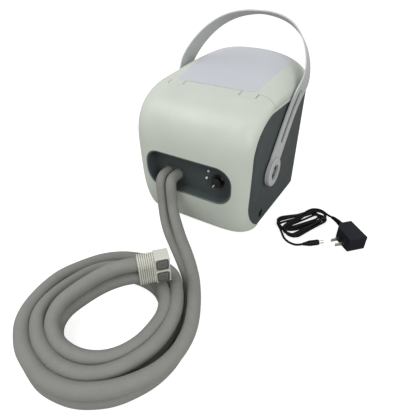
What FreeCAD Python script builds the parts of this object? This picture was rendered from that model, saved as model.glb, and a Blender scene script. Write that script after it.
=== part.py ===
import FreeCAD, Part
import os
from math import sin, cos, radians, sqrt, pi, atan2, tan, acos, degrees, hypot

Vec = FreeCAD.Vector

# Driving sizes in millimetres. Each one is written once, here, and goes into the spreadsheet.
# x runs to the right, y to the back from the front face, z up from the floor.
SIZES = {
    # housing
    "width": 230.0, "depth": 254.0, "wall": 3.0, "floor_gap": 3.0, "seam_z": 215.0,
    "lid_front_y": 91.0, "tongue_in_x": 55.0, "tongue_out_x": 83.0, "tongue_front_y": 75.6, "slit_wide": 1.5, "seam_gap": 0.8, "panel_inset": 1.2, "film": 0.3, "fit_gap": 0.3,
    "back_split_y": 238.0, "deck_thick": 2.5, "rim_top_z": 212.0,
    # side panel outline
    "panel_front_y": 21.6, "panel_top_z": 209.0, "panel_round_top": 62.0, "panel_round_low": 72.0,
    # front recess
    "recess_half": 86.4, "recess_low": 65.0, "recess_high": 134.8, "recess_corner": 29.0,
    "recess_depth": 26.0, "tub_wall": 2.2, "tub_gap": 0.3,
    # handle
    "pivot_y": 96.8, "pivot_z": 100.1, "handle_lean": 36.9, "hub_radius": 26.0, "hub_hole": 14.0,
    "hub_inner_x": 116.0, "hub_floor": 2.2, "hub_thick": 8.4, "strap_thick": 2.5,
    "strap_wide": 49.0, "strap_mid": 38.0, "strap_top": 17.0, "strap_tilt_top": 22.0, "slot_low": 52.0, "slot_high": 150.0,
    "slot_wide": 12.0, "pivot_radius": 5.0, "pivot_clear": 0.05, "boss_radius": 8.0,
    "screw_head": 13.4, "screw_head_thick": 2.4,
    # knob, lamps and board
    "knob_x": 49.5, "knob_z": 95.0, "knob_radius": 9.0, "knob_length": 8.0, "skirt_radius": 12.5, "skirt_thick": 2.4, "shaft_radius": 3.0,
    "lamp_radius": 2.6, "board_y": 40.0, "board_thick": 1.6,
    # hoses
    "hose_radius": 10.5, "hose_z": 87.0, "hose_left_x": -52.6, "hose_right_x": -31.4, "gland_lip": 2.4,
    "pipe_radius": 7.0, "pipe_bore": 5.0, "gland_face": 23.0,
    # reservoir
    "tank_half": 96.0, "tank_front": 100.0, "tank_back": 240.0, "tank_floor": 22.0,
    "tank_wall": 2.5, "tank_corner": 18.0, "rim_thick": 2.5, "foam_half": 106.5,
    "foam_front": 94.0, "foam_back": 247.0, "foam_floor": 9.0,
    # pump
    "pump_x": -29.5, "pump_z": 34.0, "pump_radius": 24.0, "pump_front": 50.0, "pump_back": 74.0,
    "pump_wall": 3.0, "motor_radius": 17.0, "motor_front": 20.0, "motor_shaft": 2.0,
    "impeller_radius": 18.5, "base_thick": 3.5,
    # feet, screws
    "foot_radius": 9.0, "foot_x": 82.0, "foot_front": 48.0, "foot_back": 226.0,
    # power inlet
    "inlet_y": 76.0, "inlet_z": 20.5, "inlet_radius": 8.0,
    # hose coupling
    "coil_high": 42.0,
    "sleeve_length": 22.0, "sleeve_radius": 12.0, "twin_pitch": 22.0, "socket_length": 20.0,
    "socket_wide": 21.0, "socket_bore": 6.0, "latch_travel": 2.0,
    # power adapter
    "case_long": 48.0, "case_short": 34.0, "case_high": 26.0, "blade_long": 17.5,
    "blade_wide": 6.35, "blade_thick": 1.5, "blade_pitch": 12.7, "cord_radius": 2.0,
}
S = dict(SIZES)

doc = FreeCAD.newDocument("therapy_machine")
sheet = doc.addObject("Spreadsheet::Sheet", "Sizes")
for row, (name, value) in enumerate(SIZES.items(), start=1):
    sheet.set("A%d" % row, name)
    sheet.set("B%d" % row, str(value))
    sheet.setAlias("B%d" % row, name)
doc.recompute()

NODES = {}


def keep(obj, label):
    """Name a finished piece and list it for export."""
    obj.Label = label
    NODES[label] = obj
    return obj


def bind(obj, **props):
    """Drive properties from the sheet; a number is set as it stands."""
    for prop, value in props.items():
        if isinstance(value, str):
            obj.setExpression(prop, value if "Sizes" in value else "Sizes." + value)
        else:
            setattr(obj, prop, value)
    return obj


def feature(name, shape):
    """A shape that no sketch or primitive describes."""
    obj = doc.addObject("Part::Feature", name)
    obj.Shape = shape
    return obj


def box(name, x0, x1, y0, y1, z0, z1):
    obj = doc.addObject("Part::Box", name)
    bind(obj, Length=x1 - x0, Width=y1 - y0, Height=z1 - z0)
    obj.Placement.Base = Vec(x0, y0, z0)
    return obj


def rod(name, radius, height, base, axis):
    """A cylinder from base along axis; radius and height may name sizes."""
    obj = doc.addObject("Part::Cylinder", name)
    bind(obj, Radius=radius, Height=height)
    obj.Placement = FreeCAD.Placement(Vec(*base), FreeCAD.Rotation(Vec(0, 0, 1), Vec(*axis)))
    return obj


def cut(name, base, *tools):
    tool = tools[0] if len(tools) == 1 else fuse(name + "_tools", *tools)
    obj = doc.addObject("Part::Cut", name)
    obj.Base, obj.Tool = base, tool
    return obj


def fuse(name, *shapes):
    obj = doc.addObject("Part::MultiFuse", name)
    obj.Shapes = list(shapes)
    return obj


def common(name, *shapes):
    obj = doc.addObject("Part::MultiCommon", name)
    obj.Shapes = list(shapes)
    return obj


def group(label, shapes):
    """Several separate solids that share one node."""
    return keep(feature(label, Part.makeCompound(shapes)), label)


PLANE = {"xy": ("XY_Plane", (0, 0)), "xz": ("XZ_Plane", (0, 0)), "yz": ("YZ_Plane", (0, 0))}


def new_body(label):
    body = doc.addObject("PartDesign::Body", label)
    body.Label = label
    return body


def sketch_on(body, plane, offset):
    """A sketch attached to one of the body's own planes, moved along its normal."""
    role = PLANE[plane][0]
    support = [f for f in body.Origin.OriginFeatures if f.Role == role][0]
    sketch = body.newObject("Sketcher::SketchObject", body.Name + "_sketch")
    sketch.AttachmentSupport = [(support, "")]
    sketch.MapMode = "FlatFace"
    sketch.AttachmentOffset = FreeCAD.Placement(Vec(0, 0, offset), FreeCAD.Rotation())
    return sketch


def add_roundrect(sketch, x0, x1, y0, y1, r):
    """Four sides and four tangent corner arcs."""
    z = Vec(0, 0, 1)
    sides = [((x0 + r, y0), (x1 - r, y0)), ((x1, y0 + r), (x1, y1 - r)),
             ((x1 - r, y1), (x0 + r, y1)), ((x0, y1 - r), (x0, y0 + r))]
    arcs = [((x1 - r, y0 + r), -pi / 2, 0), ((x1 - r, y1 - r), 0, pi / 2),
            ((x0 + r, y1 - r), pi / 2, pi), ((x0 + r, y0 + r), pi, 1.5 * pi)]
    for a, b in sides:
        if hypot(a[0] - b[0], a[1] - b[1]) > 1e-6:
            sketch.addGeometry(Part.LineSegment(Vec(a[0], a[1], 0), Vec(b[0], b[1], 0)), False)
    if r > 0:
        for c, a0, a1 in arcs:
            circle = Part.Circle(Vec(c[0], c[1], 0), z, r)
            sketch.addGeometry(Part.ArcOfCircle(circle, a0, a1), False)


def add_circle(sketch, x, y, size):
    """A circle whose radius follows a size in the sheet."""
    import Sketcher
    value = S[size] if isinstance(size, str) else size
    i = sketch.addGeometry(Part.Circle(Vec(x, y, 0), Vec(0, 0, 1), value), False)
    if isinstance(size, str):
        c = sketch.addConstraint(Sketcher.Constraint("Radius", i, value))
        sketch.setExpression("Constraints[%d]" % c, "Sizes." + size)


def add_bar(sketch, x, y, near, far, wide, angle):
    """A bar pointing away from x, y at an angle, from near to far."""
    u, v = Vec(cos(angle), sin(angle), 0), Vec(-sin(angle), cos(angle), 0)
    c = Vec(x, y, 0)
    pts = [c + u * near + v * (wide / 2), c + u * near - v * (wide / 2),
           c + u * far - v * (wide / 2), c + u * far + v * (wide / 2)]
    for i in range(4):
        sketch.addGeometry(Part.LineSegment(pts[i], pts[(i + 1) % 4]), False)


def pad(body, sketch, length, back=False):
    obj = body.newObject("PartDesign::Pad", body.Name + "_pad")
    obj.Profile = sketch
    bind(obj, Length=length)
    obj.Reversed = back
    body.Tip = obj
    return obj


def pocket(body, sketch, length, back=False):
    obj = body.newObject("PartDesign::Pocket", body.Name + "_pocket")
    obj.Profile = sketch
    bind(obj, Length=length)
    obj.Reversed = back
    body.Tip = obj
    return obj


def rounded_prism(x0, x1, y0, y1, z0, z1, r):
    """A vertical prism with rounded corners, as a plain shape."""
    shape = Part.makeBox(x1 - x0, y1 - y0, z1 - z0, Vec(x0, y0, z0))
    upright = [e for e in shape.Edges if abs(e.tangentAt(e.FirstParameter).z) > 0.99]
    return shape.makeFillet(r, upright)


# ---------------------------------------------------------------- outer form
# Centre profile of the moulded skin from the bottom of the front face over the top to the back:
# y, z, depth of the rounded shoulder below the ridge, and how square the shoulder is.
PROFILE = [
    (18.0, 3.0, 40.0, 6.0), (9.5, 20.0, 39.0, 6.0), (4.0, 42.0, 37.5, 6.0), (0.9, 70.0, 35.5, 6.0),
    (0.0, 100.0, 34.7, 6.2), (0.0, 130.0, 32.8, 6.4), (1.2, 155.0, 31.0, 6.4),
    (5.2, 177.0, 31.2, 6.3), (13.5, 196.0, 31.5, 6.1), (27.1, 211.0, 28.8, 6.0),
    (46.9, 221.3, 22.6, 6.0), (68.8, 227.4, 15.8, 6.1), (90.8, 232.0, 13.2, 5.9),
    (124.8, 240.3, 19.6, 5.0), (164.9, 250.4, 29.6, 4.0), (204.9, 259.8, 39.5, 3.1),
    (235.1, 265.4, 47.3, 2.5), (254.0, 268.4, 51.8, 2.3)]
COLUMNS = [0.0, 12, 24, 36, 48, 60, 70, 79, 87, 94, 100, 105, 109, 111.8, 113.8, 115.0]


def profile_normals(points):
    """Unit normals of the centre profile, pointing into the housing."""
    curve = Part.BSplineCurve()
    curve.interpolate([Vec(0, y, z) for y, z, h, p in points])
    out = []
    for y, z, h, p in points:
        t = curve.tangent(curve.parameter(Vec(0, y, z)))[0]
        out.append((t.z, -t.y))
    out[0], out[-1] = (1.0, 0.0), (0.0, -1.0)
    return out


def skin_solid(inset):
    """The closed outer form, every face moved inwards by inset."""
    half = S["width"] / 2 - inset
    normals = profile_normals(PROFILE)
    stretch = S["depth"] / 254.0
    rows = []
    for i, ((y, z, h, p), (ny, nz)) in enumerate(zip(PROFILE, normals)):
        last = i == len(PROFILE) - 1
        cy = y * stretch + ny * inset - (inset if last else 0.0)
        cz = z + nz * inset - (0.4 * inset if i == 0 else 0.0)
        deep = h - inset
        row = []
        for x in [-c for c in COLUMNS[:0:-1]] + COLUMNS:
            u = min(abs(x) / 115.0, 1.0)
            d = deep * (1 - sqrt(max(1 - u ** p, 0.0)))
            row.append(Vec(x / 115.0 * half, cy + ny * d, cz + nz * d))
        rows.append(row)
    surface = Part.BSplineSurface()
    surface.interpolate(rows)
    face = surface.toShape()
    b0, b1, t0, t1 = rows[0][0], rows[0][-1], rows[-1][0], rows[-1][-1]
    low0, low1 = Vec(b0.x, t0.y, b0.z), Vec(b1.x, t1.y, b1.z)
    edge = {}
    for e in face.Edges:
        mid = e.valueAt((e.FirstParameter + e.LastParameter) / 2)
        if abs(mid.x + half) < 0.01:
            edge["left"] = e
        elif abs(mid.x - half) < 0.01:
            edge["right"] = e
        elif abs(mid.z - b0.z) < 0.5:
            edge["bottom"] = e
        else:
            edge["back"] = e
    line = Part.makeLine
    faces = [face,
             Part.Face(Part.Wire(Part.__sortEdges__([edge["left"], line(t0, low0), line(low0, b0)]))),
             Part.Face(Part.Wire(Part.__sortEdges__([edge["right"], line(t1, low1), line(low1, b1)]))),
             Part.Face(Part.Wire(Part.__sortEdges__([edge["bottom"], line(b1, low1), line(low1, low0),
                                                     line(low0, b0)]))),
             Part.Face(Part.Wire(Part.__sortEdges__([edge["back"], line(t1, low1), line(low1, low0),
                                                     line(low0, t0)])))]
    return closed(faces)


def closed(faces):
    """A solid whose faces all point outwards."""
    shell = Part.Shell(faces)
    shell.sewShape()
    solid = Part.Solid(shell)
    if solid.Volume < 0:
        solid.reverse()
        solid = closed(solid.Faces)
    return solid


def round_back(solid, radius):
    """Round the two upright back edges and the edge along the back of the lid."""
    back = max(v.Point.y for v in solid.Vertexes)
    edges = []
    for e in solid.Edges:
        a, b = e.valueAt(e.FirstParameter), e.valueAt(e.LastParameter)
        if abs(a.y - back) < 0.01 and abs(b.y - back) < 0.01 and max(a.z, b.z) > 50:
            edges.append(e)
    return closed(solid.makeFillet(radius, edges).Faces)


SKINS = {
    "film": (-S["film"], 7.3), "outer": (0.0, 7.0), "inset": (S["panel_inset"], 6.0),
    "inner": (S["wall"], 4.0), "loose": (S["wall"] + S["fit_gap"], 3.7)}
skin = {}
for skin_name, (skin_inset, skin_round) in SKINS.items():
    skin[skin_name] = feature("form_" + skin_name, round_back(skin_solid(skin_inset), skin_round))


# ---------------------------------------------------------------- shared regions
def rounded_outline(points, radii):
    """A closed planar wire through points, each corner rounded with its own radius."""
    n = len(points)
    edges, ends = [], []
    for i in range(n):
        p, a, b = points[i], points[i - 1], points[(i + 1) % n]
        u, v = (a - p).normalize(), (b - p).normalize()
        turn = pi - acos(max(-1, min(1, u.dot(v))))
        d = radii[i] * tan(turn / 2)
        mid = p + (u + v).normalize() * (radii[i] / cos(turn / 2) - radii[i])
        ends.append((p + u * d, mid, p + v * d))
    for i in range(n):
        a, mid, b = ends[i]
        edges.append(Part.Arc(a, mid, b).toShape())
        edges.append(Part.makeLine(b, ends[(i + 1) % n][0]))
    return Part.Wire(edges)


def side_outline(grow):
    """Outline of the dark side panel in the y-z plane, grown outwards by grow."""
    top, front, low = S["panel_top_z"] + grow, S["panel_front_y"] - grow, -S["floor_gap"] - grow
    back = S["depth"] + 5
    return rounded_outline([Vec(0, front, low), Vec(0, back, low), Vec(0, back, top), Vec(0, front, top)],
                           [S["panel_round_low"] + grow, 2, 2, S["panel_round_top"] + grow])


def side_region(name, grow):
    face = Part.Face(side_outline(grow))
    face.translate(Vec(-200, 0, 0))
    whole = face.extrude(Vec(400, 0, 0))
    return feature(name, whole.cut(Part.makeBox(160, 600, 600, Vec(-80, -200, -200))))


def lid_plan(gap):
    """Plan region behind the lid's front seam; the seam bows forward at the shoulders."""
    y = S["lid_front_y"] + gap
    front = Part.BSplineCurve()
    front.interpolate([Vec(-130, y - 12, 0), Vec(-114, y - 7, 0), Vec(-98, y - 1.5, 0), Vec(-80, y, 0),
                       Vec(0, y, 0), Vec(80, y, 0), Vec(98, y - 1.5, 0), Vec(114, y - 7, 0),
                       Vec(130, y - 12, 0)])
    a, b = Vec(130, y - 12, 0), Vec(-130, y - 12, 0)
    c, d = Vec(130, 300, 0), Vec(-130, 300, 0)
    return Part.Face(Part.Wire([front.toShape(), Part.makeLine(a, c), Part.makeLine(c, d),
                                Part.makeLine(d, b)]))


def tongue(side, grow):
    """Region of one of the lid's two snap tongues."""
    x0, x1 = S["tongue_in_x"] - grow, S["tongue_out_x"] + grow
    if side < 0:
        x0, x1 = -x1, -x0
    return rounded_prism(x0, x1, S["tongue_front_y"] - grow, S["lid_front_y"] + 12, 200, 260, 3.0)


def relief_slits():
    """Four short slits in the shell, one along each side of the tongues, which let them flex."""
    w, y0 = S["slit_wide"], S["tongue_front_y"] + 2.5
    slits = []
    for x in (S["tongue_in_x"], S["tongue_out_x"]):
        for sx in (-1, 1):
            slits.append(Part.makeBox(w, S["lid_front_y"] - y0, 60,
                                      Vec(sx * (x + (w / 2 if x > 70 else -w / 2)) - w / 2, y0, 200)))
    return feature("slits", slits[0].fuse(slits[1:]))


def lid_region(name, gap, grow):
    low = S["seam_z"] + gap
    whole = lid_plan(gap).extrude(Vec(0, 0, 120))
    whole.translate(Vec(0, 0, low))
    return feature(name, whole.fuse([tongue(1, grow), tongue(-1, grow)]))


LAMPS = [(31.2, 110.0), (27.5, 95.5)]


def recess_prism(name, grow, y0, y1):
    """The recess's rounded outline pushed through in y."""
    h = S["recess_half"] + grow
    shape = rounded_prism(-h, h, S["recess_low"] - grow, S["recess_high"] + grow, 0, y1 - y0,
                          S["recess_corner"] + grow)
    shape.rotate(Vec(0, 0, 0), Vec(1, 0, 0), 90)
    shape.translate(Vec(0, y1, 0))
    return feature(name, shape)


# ---------------------------------------------------------------- housing
def make_front_shell():
    """Light moulding: front, top shoulder and the rim under the lid."""
    wall = cut("shell_wall", skin["outer"], skin["inner"])
    top = S["lid_front_y"]
    deck = box("deck", -104, 104, top - S["deck_thick"] - 0.2, top - 0.2, S["rim_top_z"] + 0.2, 240)
    deck_in = common("deck_in", deck, skin["inner"])
    whole = fuse("shell_whole", wall, deck_in)
    lid_room = lid_region("lid_room", 0.0, 0.3)
    windows = side_region("windows", 0.25)
    opening = recess_prism("opening", S["tub_gap"], -20, 40)
    rear = box("rear_room", -130, 130, S["back_split_y"], 280, -10, S["panel_top_z"] + 0.25)
    shell = cut("shell", whole, lid_room, relief_slits(), windows, opening, rear)
    return keep(shell, "front_shell")


def make_side_panels():
    """Dark panels let into the sides, following the rounded front corner."""
    plate = cut("panel_plate", skin["inset"], skin["inner"])
    inside = side_region("panel_area", 0.0)
    both = common("panels_both", plate, inside)
    for side, label in ((-1, "side_panel_left"), (1, "side_panel_right")):
        half = box("half_" + label, 0 if side > 0 else -130, 130 if side > 0 else 0, -10,
                   S["back_split_y"] - 0.15, -10, 300)
        piece = common("piece_" + label, both, half)
        holes = [rod("boss_hole_" + label, S["boss_radius"] + 0.05, 40,
                     (side * 90, S["pivot_y"], S["pivot_z"]), (side, 0, 0))]
        if side > 0:
            holes.append(rod("inlet_hole", S["inlet_radius"] + 0.4, 40, (90, S["inlet_y"], S["inlet_z"]), (1, 0, 0)))
        keep(cut("cut_" + label, piece, *holes), label)


def make_back_panel():
    """Dark back wall with wrapped corners."""
    plate = cut("back_plate", skin["inset"], skin["inner"])
    room = box("back_room", -130, 130, S["back_split_y"] + 0.15, 280, S["floor_gap"], S["panel_top_z"])
    keep(common("back_cut", plate, room), "back_panel")


def make_base_plate():
    slab = box("base_slab", -130, 130, 0, 280, S["floor_gap"], S["floor_gap"] + S["base_thick"])
    keep(common("base_cut", slab, skin["loose"]), "base_plate")


def make_feet():
    """Four rubber feet, one sketch."""
    body = new_body("feet")
    sketch = sketch_on(body, "xy", 0)
    for x in (-S["foot_x"], S["foot_x"]):
        for y in (S["foot_front"], S["foot_back"]):
            add_circle(sketch, x, y, "foot_radius")
    pad(body, sketch, "floor_gap")
    keep(body, "feet")


def make_recess_tub():
    """Dark tub let into the front, with openings for hoses, knob and lamps."""
    outer = recess_prism("tub_outer", 0.0, -20, S["recess_depth"] + 2.4)
    inner = recess_prism("tub_inner", -S["tub_wall"], -30, S["recess_depth"])
    shape = common("tub_form", outer, skin["inset"])
    y = S["recess_depth"] - 1
    holes = [inner,
             rod("shaft_hole", S["shaft_radius"] + 0.4, 8, (S["knob_x"], y, S["knob_z"]), (0, 1, 0)),
             rod("lamp_hole_1", S["lamp_radius"] + 0.05, 8, (LAMPS[0][0], y, LAMPS[0][1]), (0, 1, 0)),
             rod("lamp_hole_2", S["lamp_radius"] + 0.05, 8, (LAMPS[1][0], y, LAMPS[1][1]), (0, 1, 0)),
             feature("gland_hole", stadium(S["hose_radius"] + 0.7, y, 8))]
    keep(cut("tub_cut", shape, *holes), "recess_tub")


def stadium(radius, y0, length):
    """Rounded slot around both hoses."""
    x0, x1, z = S["hose_left_x"], S["hose_right_x"], S["hose_z"]
    a = Part.makeCylinder(radius, length, Vec(x0, y0, z), Vec(0, 1, 0))
    b = Part.makeCylinder(radius, length, Vec(x1, y0, z), Vec(0, 1, 0))
    return a.fuse([b, Part.makeBox(x1 - x0, length, 2 * radius, Vec(x0, y0, z - radius))]).removeSplitter()


def make_hose_gland():
    """Rubber gland that closes the hose opening."""
    y0 = S["gland_face"]
    flange = stadium(S["hose_radius"] + S["gland_lip"], y0, S["recess_depth"] - y0)
    neck = stadium(S["hose_radius"] + 0.6, S["recess_depth"], 5.0)
    shape = flange.fuse(neck).removeSplitter()
    for x in (S["hose_left_x"], S["hose_right_x"]):
        shape = shape.cut(Part.makeCylinder(S["pipe_radius"], 20, Vec(x, y0 - 5, S["hose_z"]), Vec(0, 1, 0)))
    keep(feature("gland", shape), "hose_gland")


# ---------------------------------------------------------------- knob, lamps, board
def make_knob():
    """Pointer knob on the switch's shaft: skirt, grip with a nose, and a raised pointer line."""
    body = new_body("knob")
    face = S["recess_depth"] - 0.4
    x, z, turn = S["knob_x"], S["knob_z"], radians(238)
    skirt = sketch_on(body, "xz", -face)
    add_circle(skirt, x, z, "skirt_radius")
    pad(body, skirt, "skirt_thick")
    doc.recompute()
    solid = body.Tip
    rims = ["Edge%d" % (i + 1) for i, e in enumerate(body.Shape.Edges)
            if len(e.Vertexes) == 1 and e.BoundBox.Center.y < face - 1]
    bevel = body.newObject("PartDesign::Chamfer", "skirt_bevel")
    bevel.Base = (solid, rims)
    bevel.Size = 1.2
    body.Tip = bevel
    grip = sketch_on(body, "xz", -face + S["skirt_thick"] - 0.4)
    add_circle(grip, x, z, "knob_radius")
    pad(body, grip, S["knob_length"] - S["skirt_thick"] + 0.4)
    nose = sketch_on(body, "xz", -face + S["skirt_thick"] - 0.4)
    add_bar(nose, x, z, 0.5, S["skirt_radius"] - 0.6, 5.0, turn)
    pad(body, nose, S["knob_length"] - S["skirt_thick"] + 0.4)
    bore = sketch_on(body, "xz", -face)
    add_circle(bore, x, z, S["shaft_radius"])
    pocket(body, bore, S["knob_length"] - 2.0, True)
    front = face - S["knob_length"]
    pointer = sketch_on(body, "xz", -front)
    add_bar(pointer, x, z, 4.6, S["skirt_radius"] - 1.2, 1.6, turn)
    pad(body, pointer, 0.4)
    keep(body, "knob")


def make_switch():
    """Rotary switch behind the tub: body and shaft."""
    y = S["recess_depth"] + 2.4
    can = rod("switch_can", 9.0, S["board_y"] - y, (S["knob_x"], y, S["knob_z"]), (0, 1, 0))
    tip = S["recess_depth"] - 0.4 - (S["knob_length"] - 2.0) + 0.5
    shaft = rod("switch_shaft", S["shaft_radius"] - 0.04, y - tip, (S["knob_x"], tip, S["knob_z"]), (0, 1, 0))
    keep(fuse("switch", can, shaft), "rotary_switch")


def make_lamps():
    shapes = []
    for x, z in LAMPS:
        y = S["recess_depth"] - 1.0
        lamp = Part.makeCylinder(S["lamp_radius"], S["board_y"] - y, Vec(x, y, z), Vec(0, 1, 0))
        dome = Part.makeSphere(S["lamp_radius"], Vec(x, y, z))
        shapes.append(lamp.fuse(dome).removeSplitter())
    group("indicator_lamps", shapes)


def make_board():
    """Control board on four posts behind the tub, with its larger components."""
    y, t = S["board_y"], S["board_thick"]
    keep(box("board", 12, 80, y, y + t, 72, 128), "control_board")
    back = S["recess_depth"] + 2.4
    group("board_posts", [Part.makeCylinder(2.6, y - back, Vec(px, back, pz), Vec(0, 1, 0))
                          for px in (17, 73) for pz in (76.5, 123.5)])
    parts = [Part.makeBox(15, 12, 19, Vec(20, y + t, 80)), Part.makeBox(9, 3, 9, Vec(44, y + t, 84)),
             Part.makeCylinder(5, 14, Vec(67, y + t, 88), Vec(0, 1, 0)),
             Part.makeCylinder(5, 14, Vec(67, y + t, 104), Vec(0, 1, 0)),
             Part.makeBox(20, 7, 6, Vec(24, y + t, 116))]
    group("board_components", parts)


def make_inlet():
    """Power inlet in the right side: a deep round cup with a bore and a centre pin."""
    y, z, r = S["inlet_y"], S["inlet_z"], S["inlet_radius"]
    face = S["width"] / 2 - S["wall"] - 0.1
    body = rod("inlet_body", r + 1.5, 14.0, (face - 14.0, y, z), (1, 0, 0))
    cup = rod("inlet_cup", "inlet_radius", 6.5, (face - 6.0, y, z), (1, 0, 0))
    hole = rod("inlet_bore", 3.1, 6.0, (face - 11.0, y, z), (1, 0, 0))
    keep(cut("inlet", body, cup, hole), "dc_inlet")
    keep(rod("pin", 1.0, 7.0, (face - 11.0, y, z), (1, 0, 0)), "dc_inlet_pin")


# ---------------------------------------------------------------- tank and foam
def make_tank():
    """Ice-water tank hanging from its rim."""
    body = new_body("reservoir")
    h, y0, y1, r = S["tank_half"], S["tank_front"], S["tank_back"], S["tank_corner"]
    wall, top = S["tank_wall"], S["rim_top_z"]
    sk = sketch_on(body, "xy", S["tank_floor"])
    add_roundrect(sk, -h, h, y0, y1, r)
    pad(body, sk, top - S["tank_floor"])
    rim = sketch_on(body, "xy", top - S["rim_thick"])
    add_roundrect(rim, -108.5, 108.5, 88.6, 247.5, 8.0)
    pad(body, rim, "rim_thick")
    room = sketch_on(body, "xy", top)
    add_roundrect(room, -h + wall, h - wall, y0 + wall, y1 - wall, r - wall)
    pocket(body, room, top - S["tank_floor"] - wall)
    keep(body, "reservoir")


def make_foam():
    """Insulation around the tank."""
    h, w = S["foam_half"], S["fit_gap"]
    top = S["rim_top_z"] - S["rim_thick"]
    outer = rounded_prism(-h, h, S["foam_front"], S["foam_back"], S["foam_floor"], top, 10.0)
    inner = rounded_prism(-S["tank_half"] - w, S["tank_half"] + w, S["tank_front"] - w,
                          S["tank_back"] + w, S["tank_floor"], top + 5, S["tank_corner"] + w)
    shape = outer.cut(inner)
    for x, z in ((S["hose_left_x"], S["hose_z"]), (S["pump_x"], S["pump_z"])):
        shape = shape.cut(Part.makeCylinder(S["pipe_radius"] + 0.1, 20,
                                            Vec(x, S["foam_front"] - 5, z), Vec(0, 1, 0)))
    keep(feature("foam", shape), "tank_insulation")


def make_foam_supports():
    """Blocks between the base plate and the insulation."""
    z0, z1 = S["floor_gap"] + S["base_thick"], S["foam_floor"]
    group("tank_supports", [Part.makeBox(30, 12, z1 - z0, Vec(x - 15, y, z0))
                            for x in (-70, 0, 70) for y in (120, 205)])


def tube_along(points, radius, bore=0.0, bend=None):
    """Straight runs joined by tangent arcs; prints each bend radius."""
    pts = [Vec(*p) for p in points]
    edges, start = [], pts[0]
    for i in range(1, len(pts) - 1):
        a, b = pts[i] - pts[i - 1], pts[i + 1] - pts[i]
        la, lb = a.Length, b.Length
        a.normalize(), b.normalize()
        turn = acos(max(-1.0, min(1.0, a.dot(b))))
        d = 0.45 * min(la, lb) if bend is None else bend * tan(turn / 2)
        r = d / tan(turn / 2)
        p0, p1 = pts[i] - a * d, pts[i] + b * d
        mid = pts[i] + (b - a).normalize() * (r / cos(turn / 2) - r)
        print("bend radius %.1f at turn %.0f" % (r, degrees(turn)))
        edges += [Part.makeLine(start, p0), Part.Arc(p0, mid, p1).toShape()]
        start = p1
    edges.append(Part.makeLine(start, pts[-1]))
    wire = Part.Wire(edges)

    def swept(r):
        ring = Part.Wire([Part.Circle(pts[0], (pts[1] - pts[0]).normalize(), r).toShape()])
        return wire.makePipeShell([ring], True, True)
    solid = swept(radius)
    return solid.cut(swept(bore)) if bore else solid


# ---------------------------------------------------------------- pump
def make_pump():
    x, z, y0, y1 = S["pump_x"], S["pump_z"], S["pump_front"], S["pump_back"]
    w = S["pump_wall"]
    can = rod("pump_can", "pump_radius", y1 - y0, (x, y0, z), (0, 1, 0))
    room = rod("pump_room", "Sizes.pump_radius - Sizes.pump_wall", y1 - y0 - 2 * w, (x, y0 + w, z), (0, 1, 0))
    neck = rod("pump_neck", 3.0, w + 1, (x, y0 - 0.5, z), (0, 1, 0))
    inlet = rod("pump_inlet", "pipe_bore", w + 1, (x, y1 - w - 0.5, z), (0, 1, 0))
    out = rod("pump_outlet", "pipe_bore", 12, (x, 60, z + S["pump_radius"] - 8), (0, 0, 1))
    flat = box("pump_flat", x - 12, x + 12, 51, 73, z + S["pump_radius"] - 1.2, z + S["pump_radius"] + 5)
    keep(cut("pump", can, room, neck, inlet, out, flat), "pump_housing")
    keep(rod("motor", "motor_radius", y0 - S["motor_front"], (x, S["motor_front"], z), (0, 1, 0)), "pump_motor")
    hub = Part.makeCylinder(6, 14, Vec(x, 56, z), Vec(0, 1, 0))
    vanes = []
    for k in range(6):
        vane = Part.makeBox(S["impeller_radius"] - 4, 12, 1.6, Vec(4, 57, -0.8))
        vane.rotate(Vec(0, 0, 0), Vec(0, 1, 0), 60 * k)
        vane.translate(Vec(x, 0, z))
        vanes.append(vane)
    plate = Part.makeCylinder(S["impeller_radius"], 1.6, Vec(x, 55.4, z), Vec(0, 1, 0))
    wheel = hub.fuse(vanes + [plate]).removeSplitter()
    wheel = wheel.cut(Part.makeCylinder(S["motor_shaft"] + 0.03, 12, Vec(x, 55, z), Vec(0, 1, 0)))
    keep(feature("impeller", wheel), "impeller")
    keep(rod("shaft", "motor_shaft", 17.0, (x, y0, z), (0, 1, 0)), "motor_shaft")
    block = box("bracket_block", x - 20, x + 20, 53, 71, S["floor_gap"] + S["base_thick"], z - 12)
    keep(cut("bracket", block, rod("bracket_saddle", "pump_radius", 60, (x, 40, z), (0, 1, 0))), "pump_bracket")


def make_pipes():
    """Hard pipes between tank, pump and gland."""
    r, b = S["pipe_radius"], S["pipe_bore"]
    y = S["recess_depth"] - 3
    ret = tube_along([(S["hose_left_x"], y, S["hose_z"]), (S["hose_left_x"], S["tank_front"], S["hose_z"])], r, b)
    keep(feature("return", ret), "return_pipe")
    top = S["pump_z"] + S["pump_radius"] - 1.2
    sup = tube_along([(S["hose_right_x"], y, S["hose_z"]), (S["hose_right_x"], 62, S["hose_z"]),
                      (S["hose_right_x"], 62, top)], r, b, 14.0)
    keep(feature("supply", sup), "supply_pipe")
    suc = tube_along([(S["pump_x"], S["pump_back"], S["pump_z"]), (S["pump_x"], S["tank_front"], S["pump_z"])], r, b)
    keep(feature("suction", suc), "suction_pipe")


def make_strainer():
    """Perforated strainer over the tank's outlet."""
    x, z, y = S["pump_x"], S["pump_z"], S["tank_front"] + S["tank_wall"]
    cup = Part.makeCylinder(9.5, 12, Vec(x, y, z), Vec(0, 1, 0)).cut(
        Part.makeCylinder(8.2, 10.6, Vec(x, y, z), Vec(0, 1, 0)))
    for k in range(8):
        a = radians(45 * k)
        cup = cup.cut(Part.makeCylinder(1.3, 4, Vec(x + 5 * cos(a), y + 9.5, z + 5 * sin(a)), Vec(0, 1, 0)))
    keep(feature("strainer", cup), "strainer")


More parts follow.
